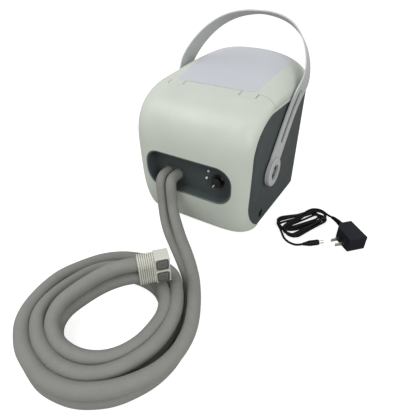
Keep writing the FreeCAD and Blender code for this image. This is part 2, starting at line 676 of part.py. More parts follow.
# ---------------------------------------------------------------- lid
def make_lid():
    wall = cut("lid_wall", skin["outer"], skin["inner"])
    area = lid_region("lid_area", S["seam_gap"], 0.0)
    keep(common("lid_cut", wall, area), "lid_shell")
    body = new_body("lid_liner")
    sk = sketch_on(body, "xy", S["seam_z"])
    add_roundrect(sk, -107, 107, 94.5, 247.5, 6)
    pad(body, sk, 2.6)
    keep(body, "lid_liner")
    room = rounded_prism(-107, 107, 94.5, 247.5, S["seam_z"] + 2.6, 300, 6)
    keep(common("foam_cut", feature("foam_room", room), skin["loose"]), "lid_insulation")
    ring = new_body("lid_gasket")
    sk = sketch_on(ring, "xy", S["rim_top_z"])
    add_roundrect(sk, -102.5, 102.5, 95.5, 245.5, 20)
    add_roundrect(sk, -96, 96, 102, 239, 15)
    pad(ring, sk, S["seam_z"] - S["rim_top_z"])
    keep(ring, "lid_gasket")
    film = cut("film_skin", skin["film"], skin["outer"])
    pts = [Vec(-76, 92.5, 200), Vec(76, 92.5, 200), Vec(86, 243, 200), Vec(-86, 243, 200)]
    plan = Part.Face(rounded_outline(pts, [9, 9, 15, 15])).extrude(Vec(0, 0, 100))
    keep(common("film_cut", film, feature("film_area", plan)), "lid_label")


# ---------------------------------------------------------------- handle
HANDLE_POINTS = [(118.4, 0.0), (118.4, 80.0), (118.6, 148.0), (133.5, 174.0), (82.0, 287.8)]


def handle_curve(offset, side):
    """One long edge of the strap: offset from the outer face, side -1 front or +1 back."""
    pole = [(u, v) for u, v in HANDLE_POINTS]
    pole += [(-u, v) for u, v in reversed(HANDLE_POINTS)]
    n, k = len(pole), 3
    knots = [0.0] + [(i + 1) / (n - k) for i in range(n - k - 1)] + [1.0]
    mults = [k + 1] + [1] * (n - k - 1) + [k + 1]
    base = Part.BSplineCurve()
    base.buildFromPolesMultsKnots([Vec(u, v, 0) for u, v in pole], mults, knots, False, k)
    lean = radians(S["handle_lean"])
    pts = []
    count = 48
    half = base.length() / 2
    for i in range(count + 1):
        t = i / count
        p, d = base.value(t), base.tangent(t)[0]
        s = base.length(0, t) if t > 0 else 0.0
        s = min(s, 2 * half - s) / half
        wide = (S["strap_wide"] * (1 - s) * (1 - 2 * s) + S["strap_mid"] * 4 * s * (1 - s)
                - S["strap_top"] * s * (1 - 2 * s))
        n_in = Vec(-d.y, d.x, 0)
        q = p + n_in * offset
        w = side * wide / 2
        tip = lean + (radians(S["strap_tilt_top"]) - lean) * s * s
        pts.append(Vec(q.x, S["pivot_y"] + q.y * sin(lean) + w * cos(tip),
                       S["pivot_z"] + q.y * cos(lean) - w * sin(tip)))
    curve = Part.BSplineCurve()
    curve.interpolate(pts)
    return curve.toShape(), pts[0], pts[-1]


def make_handle():
    """Wide thin strap bent over the housing, with a proud hub ring at each end."""
    corner = {}
    edges = {}
    for name, off, side in (("of", 0.0, -1), ("ob", 0.0, 1), ("if", S["strap_thick"], -1),
                            ("ib", S["strap_thick"], 1)):
        edges[name], a, b = handle_curve(off, side)
        corner[name] = (a, b)
    faces = [Part.makeRuledSurface(edges[p], edges[q]) for p, q in
             (("of", "ob"), ("ob", "ib"), ("ib", "if"), ("if", "of"))]
    for end in (0, 1):
        loop = [corner[n][end] for n in ("of", "ob", "ib", "if")]
        faces.append(Part.Face(Part.makePolygon(loop + loop[:1])))
    strap = closed(sum([f.Faces for f in faces], []))
    y, z, lean = S["pivot_y"], S["pivot_z"], radians(S["handle_lean"])
    x0, floor, thick = S["hub_inner_x"], S["hub_floor"], S["hub_thick"]
    for sx in (-1, 1):
        axis = Vec(sx, 0, 0)
        hub = Part.makeCylinder(S["hub_radius"], thick, Vec(sx * x0, y, z), axis)
        hub = hub.makeFillet(1.6, [e for e in hub.Edges if abs(e.BoundBox.Center.x) > x0 + thick - 0.1])
        strap = strap.fuse(hub)
        strap = strap.cut(Part.makeCylinder(S["hub_hole"], 20, Vec(sx * (x0 + floor), y, z), axis))
        strap = strap.cut(Part.makeCylinder(S["pivot_radius"] + S["pivot_clear"], 30,
                                            Vec(sx * (x0 - 10), y, z), axis))
        r = S["slot_wide"] / 2
        slot = rounded_prism(-r, r, S["slot_low"], S["slot_high"], 0, 30, r - 0.01)
        slot.rotate(Vec(0, 0, 0), Vec(1, 0, 0), 90)
        slot.rotate(Vec(0, 0, 0), Vec(0, 0, 1), 90)
        slot.translate(Vec(105 if sx > 0 else -135, 0, 0))
        slot.rotate(Vec(0, 0, 0), Vec(1, 0, 0), -S["handle_lean"])
        slot.translate(Vec(0, y, z))
        strap = strap.cut(slot)
    keep(feature("handle", strap.removeSplitter()), "handle_strap")


def make_pivots():
    """Bosses inside the panels and the screws the handle turns on."""
    y, z = S["pivot_y"], S["pivot_z"]
    for sx, side in ((-1, "left"), (1, "right")):
        wall = S["width"] / 2 - S["wall"]
        end = S["hub_inner_x"] - 0.1
        neck = Part.makeCylinder(S["boss_radius"], end - wall + 3, Vec(sx * (wall - 3), y, z), Vec(sx, 0, 0))
        flange = Part.makeCylinder(13.0, 3.0, Vec(sx * (wall - 3), y, z), Vec(sx, 0, 0))
        boss = neck.fuse(flange).removeSplitter()
        boss = boss.cut(Part.makeCylinder(S["pivot_radius"], 30, Vec(sx * (wall - 10), y, z), Vec(sx, 0, 0)))
        keep(feature("boss_" + side, boss), "pivot_boss_" + side)
        face = S["hub_inner_x"] + S["hub_floor"] + 0.1
        shaft = Part.makeCylinder(S["pivot_radius"], face - wall + 3, Vec(sx * (wall - 3), y, z), Vec(sx, 0, 0))
        head = Part.makeCylinder(S["screw_head"], S["screw_head_thick"], Vec(sx * face, y, z), Vec(sx, 0, 0))
        cross = Part.makeBox(3, 9, 1.6, Vec(-1.5, -4.5, -0.8)).fuse(Part.makeBox(3, 1.6, 9, Vec(-1.5, -0.8, -4.5)))
        cross.translate(Vec(sx * (face + S["screw_head_thick"]), y, z))
        keep(feature("screw_" + side, shaft.fuse(head).removeSplitter().cut(cross)), "pivot_screw_" + side)


# ---------------------------------------------------------------- hoses
# The two hoses leave the gland side by side and lie one above the other in the coil.
HOSE_RIGHT = [(-31.4, 23, 87), (-31.4, -9, 87), (9.4, -40.6, 31.2), (63.4, -94.6, 31.2)]
HOSE_LEFT = [(-52.6, 23, 87), (-52.6, -9, 87), (-5.4, -39.4, 11), (56.6, -101.4, 11)]
COIL_OUTLINE = [(20, -134), (-22, -149), (-50, -181), (-73, -228), (-70, -272), (-45, -318), (-10, -343),
                (36, -353), (80, -346), (122, -324), (150, -287), (157, -240), (150, -200), (134, -165),
                (110, -142), (80, -133), (50, -131)]
COIL_HOLE = [(30, -181), (62, -184), (86, -200), (98, -232), (94, -262), (78, -285), (42, -298), (8, -290),
             (-9, -268), (-13, -238), (-6, -208), (8, -190)]


def make_hoses():
    keep(feature("run_right", tube_along(HOSE_RIGHT, S["hose_radius"])), "hose_supply")
    keep(feature("run_left", tube_along(HOSE_LEFT, S["hose_radius"])), "hose_return")
    high = S["coil_high"]
    ring = soft_disc(COIL_OUTLINE, high, 8.0).cut(soft_disc(COIL_HOLE, high + 1, 0))
    stub = Part.makeBox(62, 30, high, Vec(0, -15, 0))
    stub = stub.makeFillet(8.0, [e for e in stub.Edges if e.BoundBox.ZMin > high - 1
                                 and abs(e.tangentAt(e.FirstParameter).x) > 0.9])
    mid = (Vec(*HOSE_RIGHT[-1]) + Vec(*HOSE_LEFT[-1])) * 0.5
    stub.rotate(Vec(0, 0, 0), Vec(0, 0, 1), -45)
    stub.translate(Vec(mid.x, mid.y, 0))
    keep(feature("coil", ring.fuse(stub)), "hose_coil")


def soft_disc(points, high, rounding):
    """A flat body with a smooth closed outline, its upper edge rounded."""
    curve = Part.BSplineCurve()
    curve.interpolate([Vec(x, y, 0) for x, y in points], PeriodicFlag=True)
    shape = Part.Face(Part.Wire([curve.toShape()])).extrude(Vec(0, 0, high))
    if rounding:
        shape = shape.makeFillet(rounding, [e for e in shape.Edges if e.BoundBox.ZMin > high - 1])
    return shape


COUPLING_AT, COUPLING_TURN = (48.0, -187.0), 47.0


def place_coupling(shape):
    """Stand the twin coupling on edge on top of the coil."""
    shape.rotate(Vec(0, 0, 0), Vec(1, 0, 0), 90)
    shape.rotate(Vec(0, 0, 0), Vec(0, 0, 1), COUPLING_TURN)
    rise = S["coil_high"] + S["sleeve_radius"] + S["twin_pitch"] / 2 + 0.05
    shape.translate(Vec(COUPLING_AT[0], COUPLING_AT[1], rise))
    return shape


def make_coupling():
    """Twin ribbed sleeve and two quick-connect sockets with sprung latches."""
    x_axis, length, r = Vec(1, 0, 0), S["sleeve_length"], S["sleeve_radius"]
    pitch = S["twin_pitch"] / 2
    parts = []
    for sy in (-1, 1):
        parts.append(Part.makeCylinder(r - 1.0, length, Vec(0, sy * pitch, 0), x_axis))
        for k in range(8):
            parts.append(Part.makeCylinder(r, 1.4, Vec(0.6 + 2.7 * k, sy * pitch, 0), x_axis))
    parts.append(Part.makeBox(length, 2 * pitch, 2 * (r - 2), Vec(0, -pitch, -(r - 2))))
    sleeve = parts[0].fuse(parts[1:]).removeSplitter()
    keep(feature("sleeve", place_coupling(sleeve)), "coupling_sleeve")
    w, deep, travel = S["socket_wide"] / 2, 3.4, S["latch_travel"]
    plate_x, plate_long, plate_wide = length + 4.5, 11.0, 12.0
    for sy, side in ((-1, "lower"), (1, "upper")):
        y = sy * pitch
        shell = rounded_box_x(length, length + S["socket_length"], y - w, y + w, -w, w, 2.0)
        shell = shell.cut(Part.makeCylinder(S["socket_bore"], 40, Vec(length + 4, y, 0), x_axis))
        shell = shell.cut(Part.makeBox(plate_long + 0.2, plate_wide + 0.2, 9,
                                       Vec(plate_x - 0.1, y - plate_wide / 2 - 0.1, w - deep)))
        shell = shell.cut(Part.makeBox(4.4, 4.0, 9, Vec(plate_x + 3.8, y - 2.0, 3.0)))
        keep(feature("socket_" + side, place_coupling(shell)), "socket_" + side)
        low = w - deep + travel + 0.3
        plate = Part.makeBox(plate_long, plate_wide, w + 1.2 - low, Vec(plate_x, y - plate_wide / 2, low))
        plate = plate.makeFillet(1.0, [e for e in plate.Edges if e.BoundBox.ZMin > w + 1.1])
        stem = Part.makeBox(4, 3.6, low - S["socket_bore"] - 0.2,
                            Vec(plate_x + 4, y - 1.8, S["socket_bore"] + 0.2))
        keep(feature("latch_" + side, place_coupling(plate.fuse(stem))), "latch_" + side)


def rounded_box_x(x0, x1, y0, y1, z0, z1, r):
    """A box with its edges along x rounded."""
    shape = Part.makeBox(x1 - x0, y1 - y0, z1 - z0, Vec(x0, y0, z0))
    along = [e for e in shape.Edges if abs(e.tangentAt(e.FirstParameter).x) > 0.99]
    return shape.makeFillet(r, along)


# ---------------------------------------------------------------- power adapter
ADAPTER_AT, ADAPTER_TURN = (276.0, 75.0, 0.0), 46.0
CORD_RUN = [(245.0, 135.6, 12.0), (234.0, 145.5, 9.5), (222.5, 151.5, 7.5), (210.0, 154.0, 7.0)]
PLUG_CORD = [(172, 64, 3.2), (181, 52.5, 2.4), (193, 47, 2.8), (206.5, 50.5, 5.0)]


def place_adapter(shape):
    shape.rotate(Vec(0, 0, 0), Vec(0, 0, 1), ADAPTER_TURN)
    shape.translate(Vec(*ADAPTER_AT))
    return shape


def make_adapter():
    """Plug-in supply lying on its side, its blades, cord, hank and barrel plug."""
    long, short, high = S["case_long"], S["case_short"], S["case_high"]
    pts = [Vec(0, 0, 0), Vec(short, 0, 0), Vec(short, long, 0), (Vec(10, long, 0)), Vec(0, long - 12, 0)]
    case = Part.Face(Part.makePolygon(pts + pts[:1])).extrude(Vec(0, 0, high))
    case = case.makeFillet(1.5, case.Edges)
    keep(feature("case", place_adapter(case)), "adapter_case")
    blades = [Part.makeBox(S["blade_long"], S["blade_thick"], S["blade_wide"],
                           Vec(-S["blade_long"], y, 7.0)) for y in (11.0, 11.0 + S["blade_pitch"])]
    group("adapter_blades", [place_adapter(b) for b in blades])
    relief = Part.makeCone(3.8, 2.6, 16, Vec(22, long, 12), Vec(0, 1, 0))
    keep(feature("relief", place_adapter(relief)), "strain_relief")


def make_cord():
    hank = rounded_hank()
    keep(hank, "cord_hank")
    keep(feature("cord_in", tube_along(CORD_RUN, S["cord_radius"])), "cord_run")
    keep(feature("cord_out", tube_along(PLUG_CORD, S["cord_radius"])), "plug_cord")


def rounded_hank():
    """Outer shape of the folded and tied cord."""
    turn = 68.0
    shape = rounded_prism(-55, 55, -29, 29, 0, 15, 27)
    rims = [e for e in shape.Edges if abs(e.BoundBox.Center.z - 15) < 0.01]
    shape = shape.makeFillet(6.0, rims)
    shape.rotate(Vec(0, 0, 0), Vec(0, 0, 1), turn)
    shape.translate(Vec(187, 110, 0))
    return feature("hank", shape)


def make_plug():
    """Barrel plug: moulded grip and metal barrel."""
    at, way = Vec(206.5, 50.5, 5.0), Vec(0.75, 0.66, 0)
    way.normalize()
    grip = Part.makeCone(2.6, 5.0, 12, at, way).fuse(Part.makeCylinder(5.0, 16, at + way * 12, way))
    keep(feature("grip", grip.removeSplitter()), "plug_grip")
    barrel = Part.makeCylinder(2.75, 9.5, at + way * 28, way).cut(
        Part.makeCylinder(1.2, 8.0, at + way * 29.5, way))
    keep(feature("barrel", barrel), "plug_barrel")


# ---------------------------------------------------------------- build
make_front_shell()
make_side_panels()
make_back_panel()
make_base_plate()
make_feet()
make_recess_tub()
make_hose_gland()
make_knob()
make_switch()
make_lamps()
make_board()
make_inlet()
make_tank()
make_foam()
make_foam_supports()
make_pump()
make_pipes()
make_strainer()
make_lid()
make_handle()
make_pivots()
make_hoses()
make_coupling()
make_adapter()
make_cord()
make_plug()
doc.recompute()

bad = [o.Name for o in doc.Objects if "Invalid" in o.State or "Error" in o.State]
if bad:
    for o in doc.Objects:
        if o.Name in bad:
            print("BAD", o.Name, o.State, o.getStatusString(), o.Shape.isNull() or o.Shape.isValid())
    raise RuntimeError("features with errors: %s" % bad)
CORDS = ["hose_supply", "hose_return", "hose_coil", "coupling_sleeve", "socket_lower", "socket_upper",
         "latch_lower", "latch_upper", "adapter_case", "adapter_blades", "strain_relief", "cord_hank",
         "cord_run", "plug_cord", "plug_grip", "plug_barrel"]
reach = FreeCAD.BoundBox()
for label, obj in NODES.items():
    if obj.Shape.isNull() or not obj.Shape.isValid():
        raise RuntimeError("bad shape: " + label)
    if label not in CORDS:
        reach.add(obj.Shape.BoundBox)
centre = Vec(-(reach.XMin + reach.XMax) / 2, -(reach.YMin + reach.YMax) / 2, -reach.ZMin)
print("origin moved by", centre, "nodes", len(NODES))

os.makedirs("parts", exist_ok=True)
for label, obj in NODES.items():
    shape = obj.Shape.copy()
    shape.translate(centre)
    print("%-20s solids %d volume %.0f" % (label, len(shape.Solids), shape.Volume))
    shape.exportStep("parts/%s.step" % label)
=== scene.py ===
# %% [markdown]
# # An ice-water therapy unit, dressed over its CAD frame
# The CAD model already holds every rigid piece at its real size: the housing, the lid, the strap
# handle, the dial, the quick couplings and the power adapter. This lesson adds what a CAD solid
# leaves plain: the finish of each plastic, the soft twin hose, the folded power cord and the
# small moulded and painted details. We start by loading the frame.

# %% Load the frame
import math

import bmesh
import bpy
from mathutils import Matrix, Vector
from mathutils.bvhtree import BVHTree


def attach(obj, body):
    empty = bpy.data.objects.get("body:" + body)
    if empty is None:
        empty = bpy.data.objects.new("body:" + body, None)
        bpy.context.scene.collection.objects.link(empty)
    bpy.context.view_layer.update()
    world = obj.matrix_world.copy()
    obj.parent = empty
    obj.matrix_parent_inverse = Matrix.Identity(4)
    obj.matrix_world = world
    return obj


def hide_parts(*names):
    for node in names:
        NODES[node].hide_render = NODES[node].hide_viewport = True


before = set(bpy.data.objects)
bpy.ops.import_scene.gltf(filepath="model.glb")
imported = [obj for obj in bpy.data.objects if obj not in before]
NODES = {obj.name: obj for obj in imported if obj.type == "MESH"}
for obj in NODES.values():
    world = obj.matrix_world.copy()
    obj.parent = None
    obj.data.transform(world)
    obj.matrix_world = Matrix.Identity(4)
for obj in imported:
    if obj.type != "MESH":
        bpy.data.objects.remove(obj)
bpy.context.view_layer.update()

# %% [markdown]
# Drawings of housings are made in millimetres, with the front face at y = 0. The frame is in
# metres and has its origin under the middle of the machine, so one helper turns a drawing point
# into a frame point, and everything below can use drawing sizes. A drawing's z is its height
# above the floor.

# %% Drawing millimetres to frame metres
FRONT_Y = 137.47018     # from the front face back to the frame's origin, mm


def mm(x, y, z):
    return Vector((x, y - FRONT_Y, z)) / 1000.0


print("front of the machine", mm(0, 0, 0))

# %% [markdown]
# ## The camera
# The view looks down on the machine from its right front. A camera in Blender looks along its own
# -Z axis, so we build the three axes from the heading, the tilt and a slight roll, and write them
# as the columns of one matrix. Doing it by hand avoids any constraint or target object.

# %% Camera
HEADING, TILT, ROLL = math.radians(30.238), math.radians(35.452), math.radians(0.598)
CAMERA_AT = mm(295.893, -423.370, 398.748)
FOCAL_MM, SENSOR_MM = 29.675, 36.0


def camera_matrix(place):
    look = Vector((-math.sin(HEADING) * math.cos(TILT), math.cos(HEADING) * math.cos(TILT),
                   -math.sin(TILT)))
    right = look.cross(Vector((0, 0, 1))).normalized()
    up = right.cross(look)
    right, up = (right * math.cos(ROLL) + up * math.sin(ROLL),
                 up * math.cos(ROLL) - right * math.sin(ROLL))
    turn = Matrix((right, up, -look)).transposed().to_4x4()
    return Matrix.Translation(place) @ turn


lens = bpy.data.cameras.new("view_camera")
lens.lens, lens.sensor_width, lens.clip_start = FOCAL_MM, SENSOR_MM, 0.02
camera = bpy.data.objects.new("view_camera", lens)
bpy.context.scene.collection.objects.link(camera)
camera.matrix_world = camera_matrix(CAMERA_AT)
bpy.context.scene.camera = camera
print("camera at", camera.location)

# %% [markdown]
# ## One helper for nodes, one for colour
# Every material below is a small node tree. `add` makes one node, sets its settings and fills or
# links its inputs, so a tree reads as a list of nodes. Colours are written as the hex values a
# designer would use, and turned to linear light once, here.

# %% Node and colour helpers
def linear(code):
    channels = [int(code[i:i + 2], 16) / 255 for i in (1, 3, 5)]
    return tuple(c / 12.92 if c <= 0.04045 else ((c + 0.055) / 1.055) ** 2.4
                 for c in channels) + (1.0,)


def add(tree, kind, inputs=None, **settings):
    made = tree.nodes.new(kind)
    for key, value in settings.items():
        setattr(made, key, value)
    for key, value in (inputs or {}).items():
        if isinstance(value, bpy.types.NodeSocket):
            tree.links.new(value, made.inputs[key])
        else:
            made.inputs[key].default_value = value
    return made


def new_material(name):
    material = bpy.data.materials.new(name)
    material.use_nodes = True
    material.node_tree.nodes.clear()
    return material, material.node_tree


def close(tree, shader):
    add(tree, "ShaderNodeOutputMaterial", {"Surface": shader.outputs[0]})


print("a mid grey is", linear("#808080")[0])

# %% [markdown]
# ## Floor, backdrop and light
# The machine stands on a plain white sweep. The world is a pale dome at half strength, but what
# the camera and the reflections see of it is pure white, so the backdrop is paper white without
# more light falling on the machine.

# %% World
world = bpy.data.worlds.new("studio_dome")
bpy.context.scene.world = world
world.use_nodes = True
sky = world.node_tree
sky.nodes.clear()
ray = add(sky, "ShaderNodeLightPath").outputs
seen = add(sky, "ShaderNodeMath", {0: ray["Is Camera Ray"], 1: ray["Is Glossy Ray"]},
           operation="MAXIMUM")
seen = add(sky, "ShaderNodeMath", {0: seen.outputs[0], 1: ray["Is Transmission Ray"]},
           operation="MAXIMUM")
dome = add(sky, "ShaderNodeBackground", {"Color": linear("#FFFFFF"), "Strength": 0.50})
paper = add(sky, "ShaderNodeBackground", {"Color": linear("#FFFFFF"), "Strength": 1.0})
either = add(sky, "ShaderNodeMixShader",
             {0: seen.outputs[0], 1: dome.outputs[0], 2: paper.outputs[0]})
add(sky, "ShaderNodeOutputWorld", {"Surface": either.outputs[0]})
bpy.context.scene.view_settings.view_transform = "Standard"
print("world ready")

# %% [markdown]
# The floor is a very pale paint that still takes the soft contact shadow. For camera rays it gets
# a little light of its own, for the same reason as the dome. It lies a third of a millimetre
# under the feet, so that no two faces share one plane.

# %% Floor
SWEEP, UNDER_FEET = 6.0, 0.0003     # half the floor's width and its drop below the feet, m
corners = [(-SWEEP, -SWEEP, 0), (SWEEP, -SWEEP, 0), (SWEEP, SWEEP, 0), (-SWEEP, SWEEP, 0)]
floor_mesh = bpy.data.meshes.new("floor_sweep")
floor_mesh.from_pydata(corners, [], [(0, 1, 2, 3)])
floor = bpy.data.objects.new("floor_sweep", floor_mesh)
bpy.context.scene.collection.objects.link(floor)
floor.location.z = -UNDER_FEET
paint, tree = new_material("matt_white_studio_paint")
ray = add(tree, "ShaderNodeLightPath").outputs
spot = add(tree, "ShaderNodeTexCoord").outputs["Object"]
mottle = add(tree, "ShaderNodeTexNoise", {"Vector": spot, "Scale": 3.0})
tone = add(tree, "ShaderNodeMix",
           {0: mottle.outputs["Fac"], 6: linear("#BFBFBE"), 7: linear("#C3C3C2")},
           data_type="RGBA")
matt = add(tree, "ShaderNodeBsdfDiffuse", {"Color": tone.outputs[2]})
lift = add(tree, "ShaderNodeMath", {0: ray["Is Camera Ray"], 1: 0.78}, operation="MULTIPLY")
glow = add(tree, "ShaderNodeEmission", {"Color": linear("#FFFFFF"), "Strength": lift.outputs[0]})
close(tree, add(tree, "ShaderNodeAddShader", {0: matt.outputs[0], 1: glow.outputs[0]}))
floor_mesh.materials.append(paint)
print("floor ready")

# %% [markdown]
# Two large soft boxes and the dome light the machine. The larger one hangs high on the left and a
# little in front, so the lid and the left of the front are the brightest, and the right side panel
# stays a shade darker. Both are plain white and large, so that no hard shadow edge appears.

# %% Soft boxes
LIT_POINT = (0, 0, 0.12)


def soft_box(name, place, size, power):
    lamp = bpy.data.lights.new(name, "AREA")
    lamp.shape, lamp.energy = "RECTANGLE", power
    lamp.size, lamp.size_y = size
    holder = bpy.data.objects.new(name, lamp)
    bpy.context.scene.collection.objects.link(holder)
    away = (Vector(place) - Vector(LIT_POINT)).normalized()
    turn = away.to_track_quat("Z", "Y").to_matrix().to_4x4()
    holder.matrix_world = Matrix.Translation(place) @ turn


soft_box("soft_box_high_left", (-0.9, -0.9, 1.7), (1.5, 1.2), 19.5)
soft_box("soft_box_right", (1.5, -0.8, 0.9), (1.2, 1.0), 13)
print("soft boxes ready")

# %% [markdown]
# ## Moulded plastics
# Nearly every outer piece is injection moulded ABS. What the eye reads is a satin surface: a fine
# spark-eroded grain from the steel tool, a very slow change of tone across a large face, and
# slightly shinier places where hands rub it. One recipe serves all of them, with the colour, the
# roughness and the grain size of each. Real spark grain is about 0.1 mm, too fine to show here, so
# it is drawn at about 1 mm and kept very shallow.

# %% Recipe for moulded plastic
SPECK_PER_GRAIN = 1.7   # a speck of colour is this many grains wide
RUB_PER_CLOUD = 0.45    # a rubbed place is this part of a cloud of tone
SPECK_SHARE = 0.25      # how much of the colour change comes from the specks


def moulded(name, light, dark, rough, grain_mm=1.0, grain_deep=0.006, cloud_mm=60.0, ior=1.52,
            spec=0.5):
    material, tree = new_material(name)
    spot = add(tree, "ShaderNodeTexCoord").outputs["Object"]
    cloud = add(tree, "ShaderNodeTexNoise",
                {"Vector": spot, "Scale": 1000.0 / cloud_mm, "Detail": 3.0})
    smooth = add(tree, "ShaderNodeMapRange",
                 {"Value": cloud.outputs["Fac"], "From Min": 0.32, "From Max": 0.68})
    speck = add(tree, "ShaderNodeTexNoise",
                {"Vector": spot, "Scale": 1000.0 / (grain_mm * SPECK_PER_GRAIN), "Detail": 2.0})
    blend = add(tree, "ShaderNodeMath", {0: smooth.outputs[0], 1: 1.0 - SPECK_SHARE},
                operation="MULTIPLY")
    fleck = add(tree, "ShaderNodeMath",
                {0: speck.outputs["Fac"], 1: SPECK_SHARE, 2: blend.outputs[0]},
                operation="MULTIPLY_ADD")
    colour = add(tree, "ShaderNodeMix", {0: fleck.outputs[0], 6: linear(dark), 7: linear(light)},
                 data_type="RGBA")
    rub = add(tree, "ShaderNodeTexNoise",
              {"Vector": spot, "Scale": 1000.0 / (cloud_mm * RUB_PER_CLOUD), "Detail": 4.0})
    shine = add(tree, "ShaderNodeMapRange",
                {"Value": rub.outputs["Fac"], "From Min": 0.3, "From Max": 0.7,
                 "To Min": rough - 0.05, "To Max": rough + 0.05})
    grain = add(tree, "ShaderNodeTexNoise",
                {"Vector": spot, "Scale": 1000.0 / grain_mm, "Detail": 2.0})
    relief = add(tree, "ShaderNodeBump", {"Height": grain.outputs["Fac"], "Strength": 0.25,
                                          "Distance": grain_deep / 1000.0})
    body = add(tree, "ShaderNodeBsdfPrincipled", {
        "Base Color": colour.outputs[2], "Roughness": shine.outputs[0],
        "Normal": relief.outputs[0], "IOR": ior, "Specular IOR Level": spec})
    close(tree, body)
    return material


print("moulded plastic recipe ready")

# %% The plastics that show most
# ABS in a pale grey-green, spark-eroded satin: soft wide highlights on the lid and front.
SHELL = moulded("satin_abs_pale_sage", "#C8CEC4", "#C0C6BC", 0.46)
# The dark side panels and back come from a coarser tool: almost no highlight.
PANEL = moulded("matt_abs_slate", "#414848", "#3A4040", 0.62,
                grain_mm=1.2, grain_deep=0.012, ior=1.4)
# The recess tub is the same plastic from another tool, a shade lighter.
TUB = moulded("matt_abs_slate_recess", "#495251", "#424B4A", 0.6,
              grain_mm=1.2, grain_deep=0.01, ior=1.4)
# The strap handle is a neutral light grey acetal, polished by hands along its length.
STRAP = moulded("satin_acetal_grey", "#BABCBC", "#B2B4B4", 0.42, cloud_mm=45.0)
# The power inlet and the screws of the handle are plain black ABS with a fine grain.
BLACK = moulded("satin_abs_black", "#101214", "#0C0E10", 0.42, grain_mm=0.9, ior=1.3)
# The adapter is flame-proof polycarbonate with a deep grain: black, dull and a little blue.
ADAPTER = moulded("matt_polycarbonate_black", "#14171E", "#10131A", 0.55,
                  grain_mm=0.9, grain_deep=0.012, ior=1.4, spec=0.2)
print("plastics", [m.name for m in bpy.data.materials])

# %% [markdown]
# ## Softer and harder finishes
# The rest of the machine uses a few more real materials. The jacket of the hoses is a closed-cell
# foam sleeve with a thin skin: quite matt, with tiny pits and a slight sheen at grazing angles.
# Metals are plated steel or brass with fine drawing lines, and the insulation is expanded
# polystyrene with its beads showing.

# %% Recipe for foam jacket
BLOTCH_MM, PIT_MM = 14.0, 1.6


def foam_jacket(name, light, dark):
    material, tree = new_material(name)
    spot = add(tree, "ShaderNodeTexCoord").outputs["Object"]
    blotch = add(tree, "ShaderNodeTexNoise", {"Vector": spot, "Scale": 1000.0 / BLOTCH_MM,
                                              "Detail": 4.0, "Roughness": 0.6})
    pits = add(tree, "ShaderNodeTexVoronoi", {"Vector": spot, "Scale": 1000.0 / PIT_MM})
    broad = add(tree, "ShaderNodeMath", {0: blotch.outputs["Fac"], 1: 0.8}, operation="MULTIPLY")
    tone = add(tree, "ShaderNodeMath",
               {0: pits.outputs["Distance"], 1: 0.3, 2: broad.outputs[0]},
               operation="MULTIPLY_ADD")
    colour = add(tree, "ShaderNodeMix", {0: tone.outputs[0], 6: linear(dark), 7: linear(light)},
                 data_type="RGBA")
    height = add(tree, "ShaderNodeMath",
                 {0: blotch.outputs["Fac"], 1: 0.6, 2: pits.outputs["Distance"]},
                 operation="MULTIPLY_ADD")
    relief = add(tree, "ShaderNodeBump",
                 {"Height": height.outputs[0], "Strength": 0.35, "Distance": 0.0003})
    body = add(tree, "ShaderNodeBsdfPrincipled", {
        "Base Color": colour.outputs[2], "Roughness": 0.72, "Normal": relief.outputs[0],
        "IOR": 1.45, "Sheen Weight": 0.05, "Sheen Roughness": 0.5})
    close(tree, body)
    return material


# Closed-cell EVA foam sleeve, extruded: matt warm grey with a skinned, slightly uneven surface.
JACKET = foam_jacket("extruded_foam_jacket_grey", "#888984", "#787973")
print("foam jacket ready")


# %% Recipe for plated metal
LINE_MM = (0.4, 0.4, 6.0)   # width, width and length of one drawing line


def plated(name, light, dark, rough):
    material, tree = new_material(name)
    spot = add(tree, "ShaderNodeTexCoord").outputs["Object"]
    stretch = add(tree, "ShaderNodeMapping",
                  {"Vector": spot, "Scale": tuple(1.0 / size for size in LINE_MM)})
    lines = add(tree, "ShaderNodeTexNoise",
                {"Vector": stretch.outputs[0], "Scale": 1000.0, "Detail": 3.0})
    colour = add(tree, "ShaderNodeMix",
                 {0: lines.outputs["Fac"], 6: linear(dark), 7: linear(light)}, data_type="RGBA")
    shine = add(tree, "ShaderNodeMapRange", {"Value": lines.outputs["Fac"],
                                             "To Min": rough - 0.08, "To Max": rough + 0.08})
    body = add(tree, "ShaderNodeBsdfPrincipled", {
        "Base Color": colour.outputs[2], "Metallic": 1.0, "Roughness": shine.outputs[0]})
    close(tree, body)
    return material


# Nickel-plated brass of blades and barrel: bright, with fine drawing lines.
NICKEL = plated("drawn_nickel_plate", "#D8D5CC", "#B9B5AA", 0.28)
# Zinc-plated steel screws and motor can: greyer and duller.
ZINC = plated("zinc_plated_steel", "#BFC2C2", "#9FA3A4", 0.36)
# Tin solder on the board: pale and fairly bright.
SOLDER = plated("tin_solder", "#C9CBCC", "#AEB1B3", 0.3)
print("metals ready")


# %% Recipe for bead foam
def bead_foam(name, light, dark, bead_mm):
    material, tree = new_material(name)
    spot = add(tree, "ShaderNodeTexCoord").outputs["Object"]
    beads = add(tree, "ShaderNodeTexVoronoi", {"Vector": spot, "Scale": 1000.0 / bead_mm})
    edge = add(tree, "ShaderNodeMapRange",
               {"Value": beads.outputs["Distance"], "From Min": 0.1, "From Max": 0.6})
    colour = add(tree, "ShaderNodeMix", {0: edge.outputs[0], 6: linear(light), 7: linear(dark)},
                 data_type="RGBA")
    relief = add(tree, "ShaderNodeBump",
                 {"Height": edge.outputs[0], "Strength": 0.5, "Distance": 0.0004}, invert=True)
    body = add(tree, "ShaderNodeBsdfPrincipled", {
        "Base Color": colour.outputs[2], "Roughness": 0.8, "Normal": relief.outputs[0],
        "IOR": 1.3})
    close(tree, body)
    return material


